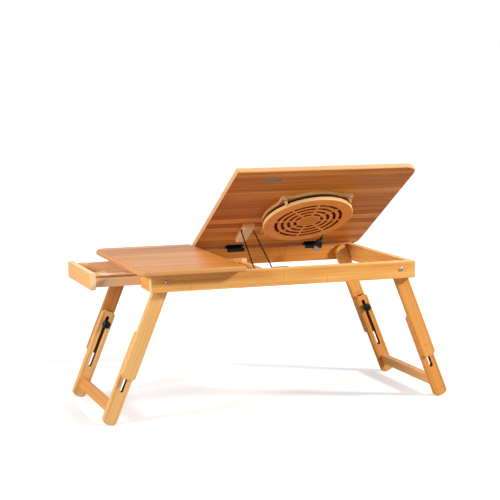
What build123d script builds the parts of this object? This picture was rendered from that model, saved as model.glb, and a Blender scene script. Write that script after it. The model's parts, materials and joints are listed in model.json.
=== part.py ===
from build123d import *
import math
import os

# Folding bamboo laptop table. Millimetres, +Z up, the feet stand on Z = 0.
# Right (+X) is the drawer's end, left (-X) the fan's end, front (-Y) the hinge side.
# A size named place is measured inward from the frame's right end, and one named
# reach along a leg from its pivot, or up the tilting top from its hinge.

# Frame
frame_length = 526.5
frame_depth = 310
rail_height = 33
rail_thickness = 14
board_round = 1
end_board_length = 56
bay_board_thickness = 12
bay_length = 168
divider_thickness = 14
arm_drop = 13
arm_height = 7.5
arm_fillet = 4

# Tops
top_thickness = 10.4
top_corner = 26
top_round = 3.5
rear_overhang = 22
front_overhang = 18
right_overhang = 26.5
left_overhang = 22
fixed_top_length = 200.5
seam_gap = 2.5
seat_gap = 0.2
tilt = 32

# Hinges
hinge_places = (265, 437)
hinge_length = 38
knuckle_radius = 1.9
knuckle_gap = 0.1
knuckle_relief = 0.4
knuckle_split = 0.3
leaf_thickness = 1.2
leaf_fold = 6.5
top_leaf_width = 15
hinge_pin_radius = 0.9
running_gap = 0.05

# Vents in the tilting top
vent_count = 12
vent_width = 8
vent_inner = 22
vent_outer = 62

# Laptop stop
stop_length = 150
stop_width = 9
stop_height = 7
stop_setback = 4
stop_round = 2

# Prop block and bail
block_place = 264.45
block_width = 21.9
block_length = 65.5
block_foot = 50.5
block_height = 12
block_chamfer = 2
bail_pivot_reach = 97
bail_wire = 2.6
bail_length = 115
bail_top_width = 26
bail_foot_width = 37
bail_top_bend = 2.5
bail_foot_bend = 5
bail_hole_depth = 8
bail_end_gap = 0.3

# Prop rest
rest_place = 263.5
rest_width = 11
rest_top_drop = 20.6
rest_notches = 4
notch_depth = 0.4
notch_gap = 0.25

# Strike plate and magnetic catch
strike_place = 256.75
strike_length = 36.5
strike_width = 14
strike_thickness = 1.2
strike_screw_spread = 29
strike_screw_radius = 1.8
strike_corner = 2
catch_length = 34
catch_depth = 12
catch_height = 11
catch_air = 0.6
catch_wall = 2
catch_floor = 3
magnet_stand = 0.3

# Fan housing
fan_place = 373.2
fan_reach = 157
base_radius = 90
base_thickness = 6
ear_reach = 108
ear_corner = 5
ear_hole_reach = 98
ear_hole_radius = 2
housing_bore = 78
groove_radius = 86
groove_height = 7
post_reach = 95.5
post_length = 5
post_width = 3
post_height = 10
grille_radius = 91
grille_height = 7.5
grille_round = 2.5
grille_plate = 2.5
slot_inner = 24
slot_outer = 69
slot_width = 6.2
slot_rings = 4
spoke_count = 8
spoke_width = 5
badge_radius = 19
badge_depth = 0.6

# Fan motor and rotor
motor_radius = 17
motor_height = 9
hub_radius = 21
hub_wall = 1.5
rotor_gap = 1.2
shaft_radius = 1.5
shaft_length = 6
shaft_end_gap = 0.5
blade_count = 7
blade_radius = 74
blade_thickness = 1.4
blade_root_chord = 13
blade_tip_chord = 30
blade_root_pitch = 38
blade_tip_pitch = 16

# Fan lead and plug
lead_radius = 1.3
lead_side_gap = 0.3
lead_pitch = 3.3
lead_inlet_angle = 126
lead_exit_angle = 558
lead_inlet_depth = 5
lead_inlet_bend = 3
lead_hole_gap = 0.1
lead_free_run = 55
lead_drop_bend = 10
plug_lean = 28
boot_length = 7
boot_radius = 2.4
boot_taper = 8
grip_length = 15
grip_width = 14
grip_thickness = 8
grip_round = 2
shell_length = 12
shell_width = 12
shell_thickness = 4.5
shell_wall = 0.5
shell_sink = 3
tongue_thickness = 1.8
tongue_setback = 1

# Drawer
drawer_open = 86.5
drawer_length = 158
drawer_side_gap = 1.5
drawer_side_drop = 4
drawer_side_height = 24
drawer_side_thickness = 9
drawer_back_thickness = 10
drawer_front_thickness = 10.5
drawer_front_lip = 6
drawer_front_drop = 1
drawer_front_height = 31
drawer_front_gap = 0.2
drawer_bottom_thickness = 3
drawer_bottom_rise = 3
drawer_bottom_sink = 3
groove_drop = 3
groove_width = 4
groove_depth = 5
runner_height = 3
runner_depth = 5
runner_length = 146

# Legs
splay = 22
pivot_inset = 29
pivot_drop = 15
leg_width = 27
leg_thickness = 12
leg_gap = 0.5
upper_leg_length = 191
leg_clip = 5
leg_round = 1.5
lower_leg_start = 102
leg_reach = 281
foot_round = 9
leg_slot_start = 112
leg_slot_end = 218
leg_slot_width = 6.8
stretcher_start = 242
stretcher_width = 22
stretcher_thickness = 10
tenon_length = 6
tenon_shoulder = 2.5
stop_gap = 0.2

# Pivot bolts
pivot_radius = 3
bolt_head_radius = 5.5
bolt_head_height = 2.4
bolt_head_taper = 22
bolt_tail = 0.6
washer_radius = 6.5
nut_radius = 5
nut_height = 3

# Clamping knobs
stud_reach = 128
stud_radius = 3
stud_end_gap = 0.8
stud_grip = 10
insert_radius = 4.5
insert_skin = 3
knob_gap = 0.2
collar_radius = 5.5
collar_height = 4
knob_radius = 7.4
knob_height = 12
knob_bevel = 1.2
lobe_radius = 2.4
lobe_reach = 6.6
lobe_count = 6

# Places worked out from the sizes above
splay_angle = math.radians(splay)
tilt_angle = math.radians(tilt)
half_length = frame_length / 2
half_depth = frame_depth / 2
foot_drop = (
    (leg_reach - foot_round) * math.cos(splay_angle)
    + (leg_width / 2 - foot_round) * math.sin(splay_angle)
    + foot_round
)
rail_top = pivot_drop + foot_drop
rail_bottom = rail_top - rail_height
pivot_x = half_length - pivot_inset
pivot_z = rail_top - pivot_drop
inner_length = half_length - rail_thickness
inner_depth = half_depth - rail_thickness
opening_half = inner_depth - end_board_length
bay_half = opening_half + bay_board_thickness
divider_x = half_length - bay_length - divider_thickness / 2
bay_end_x = divider_x - divider_thickness / 2
upper_leg_y = inner_depth - leg_gap - leg_thickness
lower_leg_y = upper_leg_y - leg_gap - leg_thickness

fixed_top_right = half_length + right_overhang
seam_x = fixed_top_right - fixed_top_length
tilting_right = seam_x - seam_gap
tilting_left = -half_length - left_overhang

hinge_out = knuckle_radius + knuckle_gap
hinge_y = -half_depth - hinge_out
hinge_z = rail_top + seat_gap
rear_reach = frame_depth + hinge_out
tilting_foot = hinge_out - front_overhang
tilting_head = rear_reach + rear_overhang
up_slope = (0, math.cos(tilt_angle), math.sin(tilt_angle))
top_normal = (0, -math.sin(tilt_angle), math.cos(tilt_angle))
tilt_plane = Plane(origin=(0, hinge_y, hinge_z), x_dir=(1, 0, 0), z_dir=top_normal)
through_top = Axis(origin=(0, hinge_y, hinge_z), direction=top_normal)

pieces = []


def keep(builder, name):
    """Label a finished piece and line it up for writing."""
    builder.part.label = name
    pieces.append(builder.part)


def from_right_end(place):
    """X of a place measured inward from the frame's right end."""
    return half_length - place


def leg_plane(side, plane_y):
    """Plane of a leg's side face, whose local x runs from the pivot to the foot."""
    along = (side * math.sin(splay_angle), 0, -math.cos(splay_angle))
    return Plane(origin=(side * pivot_x, plane_y, pivot_z), x_dir=along, z_dir=(0, 1, 0))


def slope_section(section_x):
    """Plane across the tilting top: local x up the slope, local y through the top."""
    return Plane(origin=(section_x, hinge_y, hinge_z), x_dir=up_slope, z_dir=(1, 0, 0))


def span(low, high):
    """Middle and size of a stretch, for a rectangle between two limits."""
    return (low + high) / 2, high - low


def row_start(row, inner_y, thickness):
    """Lower Y limit of a layer of the rear (1) or front (-1) row."""
    return inner_y if row > 0 else -inner_y - thickness


SIDES = {"right": 1, "left": -1}
ROWS = {"rear": 1, "front": -1}


# Long rails, with pivot holes; the front one is let in for the hinge leaves
def frame_leaf_section(outer_y, slack):
    """Section of the leaf on the front rail's top and inner face, as (Y, Z)."""
    inner_y = rail_thickness - half_depth
    with BuildSketch() as section:
        with BuildLine():
            Polyline(
                (outer_y, rail_top + slack),
                (inner_y + slack, rail_top + slack),
                (inner_y + slack, rail_top - leaf_fold),
                (inner_y - leaf_thickness, rail_top - leaf_fold),
                (inner_y - leaf_thickness, rail_top - leaf_thickness),
                (outer_y, rail_top - leaf_thickness),
                close=True,
            )
        make_face()
    return section.sketch


for row_name, row in ROWS.items():
    with BuildPart() as rail:
        with BuildSketch(Plane.XY.offset(rail_bottom)):
            with Locations((0, row * (half_depth - rail_thickness / 2))):
                Rectangle(frame_length, rail_thickness)
        extrude(amount=rail_height)
        fillet(rail.edges().filter_by(Axis.X), board_round)
        with BuildSketch(Plane.XZ.offset(-row * half_depth)):
            with Locations((-pivot_x, pivot_z), (pivot_x, pivot_z)):
                Circle(pivot_radius + running_gap)
        extrude(amount=row * rail_thickness, mode=Mode.SUBTRACT)
        if row < 0:
            for place in hinge_places:
                with BuildSketch(Plane.YZ.offset(from_right_end(place) - hinge_length / 2)):
                    add(frame_leaf_section(-half_depth - board_round, board_round))
                extrude(amount=hinge_length, mode=Mode.SUBTRACT)
    keep(rail, row_name + "_rail")


# End boards, bevelled at the bottom where the splayed legs come to rest
def cut_leg_stop(side, row):
    """Solid of the space that a splayed leg takes, to cut from an end board."""
    inner_y = lower_leg_y - leg_gap
    low_y = inner_y if row > 0 else -inner_depth - leg_gap
    with BuildPart() as space:
        with BuildSketch(leg_plane(side, low_y)):
            with Locations((leg_width, 0)):
                Rectangle(2 * leg_width, leg_width + 2 * stop_gap)
        extrude(amount=inner_depth + leg_gap - inner_y)
    return space.part


left_x, left_size = span(-half_length, -inner_length)
with BuildPart() as left_end_rail:
    with BuildSketch(Plane.XY.offset(rail_bottom)):
        with Locations((left_x, 0)):
            Rectangle(left_size, 2 * inner_depth)
    extrude(amount=rail_height)
    fillet(left_end_rail.edges().filter_by(Axis.Y), board_round)
    add(cut_leg_stop(-1, 1), mode=Mode.SUBTRACT)
    add(cut_leg_stop(-1, -1), mode=Mode.SUBTRACT)
keep(left_end_rail, "left_end_rail")

for row_name, row in ROWS.items():
    board_y, board_size = span(opening_half, inner_depth)
    with BuildPart() as end_board:
        with BuildSketch(Plane.XY.offset(rail_bottom)):
            with Locations((-left_x, row * board_y)):
                Rectangle(left_size, board_size)
        extrude(amount=rail_height)
        fillet(end_board.edges().filter_by(Axis.Y), board_round)
        add(cut_leg_stop(1, row), mode=Mode.SUBTRACT)
    keep(end_board, "right_end_board_" + row_name)

# Bay boards: the drawer's side boards, which go on as thin arms to the prop rest
rest_x = from_right_end(rest_place)
arm_end_x = rest_x + rest_width / 2
arm_top = rail_top - arm_drop
arm_bottom = arm_top - arm_height
for row_name, row in ROWS.items():
    with BuildPart() as bay_board:
        with BuildSketch(Plane.XZ.offset(-row * bay_half)) as outline:
            with BuildLine():
                Polyline(
                    (inner_length, rail_bottom),
                    (inner_length, rail_top),
                    (bay_end_x, rail_top),
                    (bay_end_x, arm_top),
                    (arm_end_x, arm_top),
                    (arm_end_x, arm_bottom),
                    (bay_end_x, arm_bottom),
                    (bay_end_x, rail_bottom),
                    close=True,
                )
            make_face()
            roots = outline.vertices().filter_by_position(Axis.X, bay_end_x - 1, bay_end_x + 1)
            fillet(roots.filter_by_position(Axis.Y, arm_bottom - 1, arm_top + 1), arm_fillet)
        extrude(amount=row * bay_board_thickness)
    keep(bay_board, "bay_board_" + row_name)

with BuildPart() as bay_divider:
    with BuildSketch(Plane.XY.offset(rail_bottom)):
        with Locations((divider_x, 0)):
            Rectangle(divider_thickness, 2 * opening_half)
    extrude(amount=rail_height)
keep(bay_divider, "bay_divider")

# Drawer runners on the bay boards
runner_top = rail_top - drawer_side_drop - groove_drop - (groove_width - runner_height) / 2
runner_x = inner_length - runner_length / 2
for row_name, row in ROWS.items():
    with BuildPart() as runner:
        with BuildSketch(Plane.XY.offset(runner_top)):
            with Locations((runner_x, row * (opening_half - runner_depth / 2))):
                Rectangle(runner_length, runner_depth)
        extrude(amount=-runner_height)
    keep(runner, "drawer_runner_" + row_name)

# Prop rest, with a notch for each tilt at which the bail can stand
rest_top = rail_top - rest_top_drop
wire_z = rest_top - notch_depth + notch_gap + bail_wire / 2


def bail_pivot(angle):
    """Y and Z of the bail's pivot with the top tilted by an angle in radians."""
    depth = block_height / 2
    pivot_y = hinge_y + bail_pivot_reach * math.cos(angle) + depth * math.sin(angle)
    height = hinge_z + bail_pivot_reach * math.sin(angle) - depth * math.cos(angle)
    return pivot_y, height


def notch_y(angle):
    """Y at which the bail's foot meets the rest with the top tilted by an angle."""
    pivot_y, height = bail_pivot(angle)
    return pivot_y + math.sqrt(bail_length**2 - (height - wire_z) ** 2)


with BuildPart() as prop_rest:
    with BuildSketch(Plane.YZ.offset(rest_x - rest_width / 2)):
        with BuildLine():
            Polyline(
                (-bay_half, rail_bottom),
                (-bay_half, arm_top),
                (-opening_half, arm_top),
                (-opening_half, rest_top),
                (opening_half, rest_top),
                (opening_half, arm_top),
                (bay_half, arm_top),
                (bay_half, rail_bottom),
                close=True,
            )
        make_face()
        for step in range(rest_notches):
            with Locations((notch_y(tilt_angle * (1 - step / rest_notches)), wire_z)):
                Circle(bail_wire / 2 + notch_gap, mode=Mode.SUBTRACT)
    extrude(amount=rest_width)
keep(prop_rest, "prop_rest")

# Fixed top over the drawer
fixed_x, fixed_size = span(seam_x, fixed_top_right)
fixed_y, fixed_depth = span(-half_depth - front_overhang, half_depth + rear_overhang)
with BuildPart() as fixed_top:
    with BuildSketch(Plane.XY.offset(rail_top)) as outline:
        with Locations((fixed_x, fixed_y)):
            Rectangle(fixed_size, fixed_depth)
        fillet(outline.vertices().group_by(Axis.X)[-1], top_corner)
    extrude(amount=top_thickness)
    rims = fixed_top.faces().filter_by(Axis.Z).edges()
    fillet(rims.filter_by(lambda rim: rim.center().X > seam_x + seam_gap), top_round)
keep(fixed_top, "fixed_top")

# Tilting top, let in for its hinges and the strike plate, and pierced over the fan
tilting_x, tilting_size = span(tilting_left, tilting_right)
tilting_mid, tilting_depth = span(tilting_foot, tilting_head)
strike_x = from_right_end(strike_place)
strike_reach = rear_reach - rail_thickness
fan_x = from_right_end(fan_place)
with BuildPart() as tilting_top:
    with BuildSketch(tilt_plane) as outline:
        with Locations((tilting_x, tilting_mid)):
            Rectangle(tilting_size, tilting_depth)
        fillet(outline.vertices().group_by(Axis.X)[0], top_corner)
    extrude(amount=top_thickness)
    rims = tilting_top.faces().filter_by(tilt_plane).edges()
    fillet(rims.filter_by(lambda rim: rim.center().X < tilting_right - seam_gap), top_round)
    with BuildSketch(tilt_plane):
        with Locations((fan_x, fan_reach)):
            with PolarLocations((vent_inner + vent_outer) / 2, vent_count):
                SlotOverall(vent_outer - vent_inner, vent_width)
    extrude(amount=top_thickness, mode=Mode.SUBTRACT)
    with BuildSketch(tilt_plane):
        with Locations((strike_x, strike_reach)):
            RectangleRounded(strike_length, strike_width, strike_corner)
    extrude(amount=strike_thickness, mode=Mode.SUBTRACT)
    for place in hinge_places:
        low_x = from_right_end(place) - hinge_length / 2
        with BuildSketch(slope_section(low_x)):
            Circle(knuckle_radius + knuckle_relief)
            with Locations((top_leaf_width / 2, leaf_thickness / 2)):
                Rectangle(top_leaf_width, leaf_thickness)
        extrude(amount=hinge_length, mode=Mode.SUBTRACT)
keep(tilting_top, "tilting_top")

# Hinges: the frame's leaf has the outer knuckles, the top's leaf the middle one
knuckle_length = hinge_length / 3
with BuildPart() as frame_leaves:
    for place in hinge_places:
        low_x = from_right_end(place) - hinge_length / 2
        with BuildSketch(Plane.YZ.offset(low_x)):
            add(frame_leaf_section(-half_depth, 0))
        extrude(amount=hinge_length)
        for start in (low_x, low_x + hinge_length - knuckle_length):
            with BuildSketch(Plane.YZ.offset(start)):
                with Locations((hinge_y, hinge_z)):
                    Circle(knuckle_radius)
                with Locations((hinge_y + hinge_out / 2, rail_top - leaf_thickness / 2)):
                    Rectangle(hinge_out, leaf_thickness)
            extrude(amount=knuckle_length)
        with BuildSketch(Plane.YZ.offset(low_x)):
            with Locations((hinge_y, hinge_z)):
                Circle(hinge_pin_radius)
        extrude(amount=hinge_length, mode=Mode.SUBTRACT)
keep(frame_leaves, "hinge_frame_leaves")

leaf_start = knuckle_radius + knuckle_relief
with BuildPart() as top_leaves:
    for place in hinge_places:
        low_x = from_right_end(place) - hinge_length / 2
        with BuildSketch(slope_section(low_x)):
            with Locations(((leaf_start + top_leaf_width) / 2, leaf_thickness / 2)):
                Rectangle(top_leaf_width - leaf_start, leaf_thickness)
        extrude(amount=hinge_length)
        with BuildSketch(slope_section(low_x + knuckle_length + knuckle_split)):
            Circle(knuckle_radius)
            with Locations((leaf_start / 2, leaf_thickness / 2)):
                Rectangle(leaf_start, leaf_thickness)
        extrude(amount=knuckle_length - 2 * knuckle_split)
        with BuildSketch(slope_section(low_x)):
            Circle(hinge_pin_radius + running_gap)
        extrude(amount=hinge_length, mode=Mode.SUBTRACT)
keep(top_leaves, "hinge_top_leaves")

with BuildPart() as hinge_pins:
    for place in hinge_places:
        with BuildSketch(Plane.YZ.offset(from_right_end(place) - hinge_length / 2)):
            with Locations((hinge_y, hinge_z)):
                Circle(hinge_pin_radius)
        extrude(amount=hinge_length)
keep(hinge_pins, "hinge_pins")

# Laptop stop at the foot of the slope
with BuildPart() as laptop_stop:
    with BuildSketch(tilt_plane.offset(top_thickness)):
        with Locations((tilting_x, tilting_foot + stop_setback + stop_width / 2)):
            Rectangle(stop_length, stop_width)
    extrude(amount=stop_height)
    fillet(laptop_stop.faces().sort_by(through_top)[-1].edges(), stop_round)
keep(laptop_stop, "laptop_stop")

# Prop block under the tilting top, bored from both sides for the bail
block_x = from_right_end(block_place)
with BuildPart() as prop_block:
    with BuildSketch(tilt_plane):
        with Locations((block_x, block_foot + block_length / 2)):
            Rectangle(block_width, block_length)
    extrude(amount=-block_height)
    chamfer(prop_block.faces().sort_by(through_top)[0].edges(), block_chamfer)
    for side in SIDES.values():
        with BuildSketch(slope_section(block_x + side * block_width / 2)):
            with Locations((bail_pivot_reach, -block_height / 2)):
                Circle(bail_wire / 2 + running_gap)
        extrude(amount=-side * (bail_hole_depth + bail_end_gap), mode=Mode.SUBTRACT)
keep(prop_block, "prop_block")

# Bail: one bent wire, its ends turned into the block
pivot_y, pivot_height = bail_pivot(tilt_angle)
bail_angle = math.asin((pivot_height - wire_z) / bail_length)
bail_plane = Plane(
    origin=(block_x, pivot_y, pivot_height),
    x_dir=(1, 0, 0),
    z_dir=(0, math.sin(bail_angle), math.cos(bail_angle)),
)
bail_end = block_width / 2 - bail_hole_depth
with BuildPart() as prop_bail:
    with BuildLine(bail_plane) as bail_route:
        FilletPolyline(
            (bail_end, 0),
            (bail_top_width / 2, 0),
            (bail_foot_width / 2, bail_length),
            (-bail_foot_width / 2, bail_length),
            (-bail_top_width / 2, 0),
            (-bail_end, 0),
            radius=(bail_top_bend, bail_foot_bend, bail_foot_bend, bail_top_bend),
        )
    with BuildSketch(Plane(origin=bail_route.line @ 0, z_dir=bail_route.line % 0)):
        Circle(bail_wire / 2)
    sweep(path=bail_route.line)
keep(prop_bail, "prop_bail")

# Strike plate, let in flush
with BuildPart() as strike_plate:
    with BuildSketch(tilt_plane):
        with Locations((strike_x, strike_reach)):
            RectangleRounded(strike_length, strike_width, strike_corner)
            with GridLocations(strike_screw_spread, 0, 2, 1):
                Circle(strike_screw_radius, mode=Mode.SUBTRACT)
    extrude(amount=strike_thickness)
keep(strike_plate, "strike_plate")

# Magnetic catch on the rear rail, under the strike plate when the top is closed
magnet_top = hinge_z - catch_air
case_top = magnet_top - magnet_stand
case_y = inner_depth - catch_depth / 2
with BuildPart() as catch_case:
    with BuildSketch(Plane.XY.offset(case_top)):
        with Locations((strike_x, case_y)):
            Rectangle(catch_length, catch_depth)
    extrude(amount=-catch_height)
    fillet(catch_case.edges().filter_by(Axis.Z).group_by(Axis.Y)[0], catch_wall)
    with BuildSketch(Plane.XY.offset(case_top)):
        with Locations((strike_x, case_y)):
            Rectangle(catch_length - 2 * catch_wall, catch_depth - 2 * catch_wall)
    extrude(amount=-(catch_height - catch_floor), mode=Mode.SUBTRACT)
keep(catch_case, "catch_case")

with BuildPart() as catch_magnet:
    with BuildSketch(Plane.XY.offset(magnet_top)):
        with Locations((strike_x, case_y)):
            Rectangle(catch_length - 2 * catch_wall, catch_depth - 2 * catch_wall)
    extrude(amount=-(catch_height - catch_floor + magnet_stand))
keep(catch_magnet, "catch_magnet")

# Fan base: a ring with four ears and the wall behind the lead's groove
fan_origin = tilt_plane.from_local_coords(Vector(fan_x, fan_reach, 0))
fan_plane = Plane(origin=fan_origin, x_dir=(1, 0, 0), z_dir=top_normal)
groove_top = -base_thickness
groove_bottom = groove_top - groove_height
lead_turn_radius = groove_radius + lead_side_gap + lead_radius
lead_start_depth = groove_top - lead_side_gap / 2 - lead_radius


def on_fan(radius, degrees, depth):
    """Point at a radius, an angle and a height along the fan's axis."""
    angle = math.radians(degrees)
    flat = Vector(radius * math.cos(angle), radius * math.sin(angle), depth)
    return fan_plane.from_local_coords(flat)


inlet_out = on_fan(1, lead_inlet_angle, 0) - fan_origin
inlet_mouth = on_fan(groove_radius, lead_inlet_angle, lead_start_depth)
with BuildPart() as fan_base:
    with BuildSketch(fan_plane.offset(groove_top)):
        Circle(base_radius)
        RectangleRounded(ear_reach * math.sqrt(2), ear_reach * math.sqrt(2), ear_corner)
        Circle(housing_bore, mode=Mode.SUBTRACT)
        with PolarLocations(ear_hole_reach, 4, start_angle=45):
            Circle(ear_hole_radius, mode=Mode.SUBTRACT)
    extrude(amount=base_thickness)
    with BuildSketch(fan_plane.offset(groove_bottom)):
        Circle(groove_radius)
        Circle(housing_bore, mode=Mode.SUBTRACT)
    extrude(amount=groove_height)
    with BuildSketch(fan_plane.offset(groove_top)):
        with PolarLocations(post_reach, 3, start_angle=-45, angular_range=180, endpoint=True):
            Rectangle(post_width, post_length)
    extrude(amount=-post_height)
    with BuildSketch(Plane(origin=inlet_mouth, z_dir=inlet_out)):
        Circle(lead_radius + lead_hole_gap)
    extrude(amount=-lead_inlet_depth, mode=Mode.SUBTRACT)
keep(fan_base, "fan_base")

# Fan grille: a round cap with rings of arc slots between the spokes
grille_face = groove_bottom - grille_height
plate_back = grille_face + grille_plate
slot_pitch = (slot_outer - slot_inner - slot_width) / (slot_rings - 1)
with BuildPart() as fan_grille:
    with BuildSketch(fan_plane.offset(grille_face)):
        Circle(grille_radius)
    extrude(amount=grille_height)
    fillet(fan_grille.faces().sort_by(through_top)[0].edges(), grille_round)
    with BuildSketch(fan_plane.offset(plate_back)):
        Circle(housing_bore)
    extrude(amount=grille_height - grille_plate, mode=Mode.SUBTRACT)
    with BuildSketch(fan_plane.offset(grille_face)):
        for ring in range(slot_rings):
            with BuildSketch(mode=Mode.PRIVATE) as slots:
                Circle(slot_inner + ring * slot_pitch + slot_width)
                Circle(slot_inner + ring * slot_pitch, mode=Mode.SUBTRACT)
                with PolarLocations(0, spoke_count // 2, angular_range=180):
                    Rectangle(2 * slot_outer, spoke_width, mode=Mode.SUBTRACT)
            add(slots.sketch)
    extrude(amount=grille_plate, mode=Mode.SUBTRACT)
    with BuildSketch(fan_plane.offset(grille_face)):
        Circle(badge_radius)
    extrude(amount=badge_depth, mode=Mode.SUBTRACT)
keep(fan_grille, "fan_grille")

# Fan motor on the back of the grille
motor_top = plate_back + motor_height
bore_depth = shaft_length - rotor_gap + shaft_end_gap
with BuildPart() as fan_motor:
    with BuildSketch(fan_plane.offset(plate_back)):
        Circle(motor_radius)
    extrude(amount=motor_height)
    with BuildSketch(fan_plane.offset(motor_top)):
        Circle(shaft_radius + running_gap)
    extrude(amount=-bore_depth, mode=Mode.SUBTRACT)
keep(fan_motor, "fan_motor")

# Fan rotor: a cup over the motor, its shaft and the twisted blades
hub_floor = motor_top + rotor_gap
hub_rim = plate_back + rotor_gap
blade_mid = (hub_floor + hub_rim) / 2
with BuildPart() as blade:
    for reach, chord, pitch in (
        (hub_radius - hub_wall / 2, blade_root_chord, blade_root_pitch),
        (blade_radius, blade_tip_chord, blade_tip_pitch),
    ):
        with BuildSketch(Plane(origin=(reach, 0, blade_mid), x_dir=(0, 1, 0), z_dir=(1, 0, 0))):
            Rectangle(chord, blade_thickness, rotation=pitch)
    loft()

with BuildPart(fan_plane) as fan_rotor:
    with BuildSketch(fan_plane.offset(hub_rim)):
        Circle(hub_radius)
    extrude(amount=hub_floor + hub_wall - hub_rim)
    with BuildSketch(fan_plane.offset(hub_rim)):
        Circle(hub_radius - hub_wall)
    extrude(amount=hub_floor - hub_rim, mode=Mode.SUBTRACT)
    with BuildSketch(fan_plane.offset(hub_floor)):
        Circle(shaft_radius)
    extrude(amount=-shaft_length)
    with PolarLocations(0, blade_count):
        add(blade.part)
keep(fan_rotor, "fan_rotor")

# Fan lead: straight out of the wall, wound in the groove, then down to the plug
plug_angle = math.radians(plug_lean)
plug_down = Vector(math.sin(plug_angle), 0, -math.cos(plug_angle))
inlet_swing = math.degrees(math.asin(lead_inlet_bend / (lead_turn_radius - lead_inlet_bend)))
bend_radius = (lead_turn_radius - lead_inlet_bend) * math.cos(math.radians(inlet_swing))
turn_start = lead_inlet_angle + inlet_swing
arc_count = math.ceil((lead_exit_angle - turn_start) / 90)
arc_step = (lead_exit_angle - turn_start) / arc_count
with BuildPart() as fan_lead:
    with BuildLine() as lead_route:
        inlet_start = on_fan(groove_radius - lead_inlet_depth, lead_inlet_angle, lead_start_depth)
        inlet_end = on_fan(bend_radius, lead_inlet_angle, lead_start_depth)
        Line(inlet_start, inlet_end)
        turn = TangentArc(
            inlet_end,
            on_fan(lead_turn_radius, turn_start, lead_start_depth),
            tangent=inlet_out,
        )
        for step in range(1, arc_count + 1):
            swept = step * arc_step
            depth = lead_start_depth - lead_pitch * swept / 360
            target = on_fan(lead_turn_radius, turn_start + swept, depth)
            turn = TangentArc(turn @ 1, target, tangent=turn % 1)
        run_end = turn @ 1 + (turn % 1) * lead_free_run
        drop_angle = math.radians((turn % 1).get_angle(plug_down))
        drop_leg = lead_drop_bend * math.tan(drop_angle / 2)
        drop_end = run_end + (turn % 1) * drop_leg + plug_down * drop_leg
        Line(turn @ 1, run_end)
        TangentArc(run_end, drop_end, tangent=turn % 1)
        lead_end = drop_end + plug_down * (2 * lead_radius)
        Line(drop_end, lead_end)
    with BuildSketch(Plane(origin=inlet_start, z_dir=inlet_out)):
        Circle(lead_radius)
    sweep(path=lead_route.line)
keep(fan_lead, "fan_lead")
lead_path = lead_route.wire()

# Plug: a grip with its boot, a metal shell and the tongue inside it
plug_width_dir = (math.cos(plug_angle), 0, math.sin(plug_angle))
plug_plane = Plane(origin=lead_end, x_dir=plug_width_dir, z_dir=plug_down)
grip_end = boot_length + grip_length
shell_start = grip_end - shell_sink
along_plug = Axis(origin=lead_end, direction=plug_down)
with BuildPart() as usb_grip:
    with BuildSketch(plug_plane.offset(boot_length)):
        RectangleRounded(grip_width, grip_thickness, grip_round)
    extrude(amount=grip_length)
    fillet(usb_grip.faces().sort_by(along_plug)[0].edges(), grip_round)
    with BuildSketch(plug_plane):
        Circle(boot_radius)
    extrude(amount=boot_length, taper=-boot_taper)
    with BuildSketch(plug_plane.offset(shell_start)):
        Rectangle(shell_width, shell_thickness)
    extrude(amount=shell_sink, mode=Mode.SUBTRACT)
    with BuildSketch(plug_plane.offset(shell_start)):
        with Locations((0, (shell_thickness - tongue_thickness) / 2 - shell_wall)):
            Rectangle(shell_width - 2 * shell_wall, tongue_thickness)
    extrude(amount=shell_length - tongue_setback)
keep(usb_grip, "usb_grip")

with BuildPart() as usb_shell:
    with BuildSketch(plug_plane.offset(shell_start)):
        Rectangle(shell_width, shell_thickness)
        Rectangle(
            shell_width - 2 * shell_wall,
            shell_thickness - 2 * shell_wall,
            mode=Mode.SUBTRACT,
        )
    extrude(amount=shell_length)
keep(usb_shell, "usb_shell")

# Drawer, pulled out by its rest opening
front_x = half_length + drawer_front_gap + drawer_open
side_top = rail_top - drawer_side_drop
side_bottom = side_top - drawer_side_height
side_outer = opening_half - drawer_side_gap
side_inner = side_outer - drawer_side_thickness
back_x = front_x - drawer_length
bottom_low = side_bottom + drawer_bottom_rise


def drawer_bottom_panel():
    """Panel that sits in grooves of the front, the sides and the back."""
    low_x = back_x + drawer_back_thickness - drawer_bottom_sink
    panel_x, panel_length = span(low_x, front_x + drawer_bottom_sink)
    with BuildPart() as panel:
        with BuildSketch(Plane.XY.offset(bottom_low)):
            with Locations((panel_x, 0)):
                Rectangle(panel_length, 2 * (side_inner + drawer_bottom_sink))
        extrude(amount=drawer_bottom_thickness)
    return panel


with BuildPart() as drawer_front:
    with BuildSketch(Plane.XY.offset(rail_top - drawer_front_drop)):
        with Locations((front_x + drawer_front_thickness / 2, 0)):
            Rectangle(drawer_front_thickness, 2 * (opening_half + drawer_front_lip))
    extrude(amount=-drawer_front_height)
    fillet(drawer_front.faces().sort_by(Axis.X)[-1].edges(), board_round)
    add(drawer_bottom_panel().part, mode=Mode.SUBTRACT)
keep(drawer_front, "drawer_front")

side_x, side_length = span(back_x, front_x)
for row_name, row in ROWS.items():
    with BuildPart() as drawer_side:
        with BuildSketch(Plane.XY.offset(side_bottom)):
            with Locations((side_x, row * (side_outer - drawer_side_thickness / 2))):
                Rectangle(side_length, drawer_side_thickness)
        extrude(amount=drawer_side_height)
        with BuildSketch(Plane.XY.offset(side_top - groove_drop)):
            with Locations((side_x, row * (side_outer - groove_depth / 2))):
                Rectangle(side_length, groove_depth)
        extrude(amount=-groove_width, mode=Mode.SUBTRACT)
        add(drawer_bottom_panel().part, mode=Mode.SUBTRACT)
    keep(drawer_side, "drawer_side_" + row_name)

with BuildPart() as drawer_back:
    with BuildSketch(Plane.XY.offset(side_bottom)):
        with Locations((back_x + drawer_back_thickness / 2, 0)):
            Rectangle(drawer_back_thickness, 2 * side_inner)
    extrude(amount=drawer_side_height)
    add(drawer_bottom_panel().part, mode=Mode.SUBTRACT)
keep(drawer_back, "drawer_back")

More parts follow.
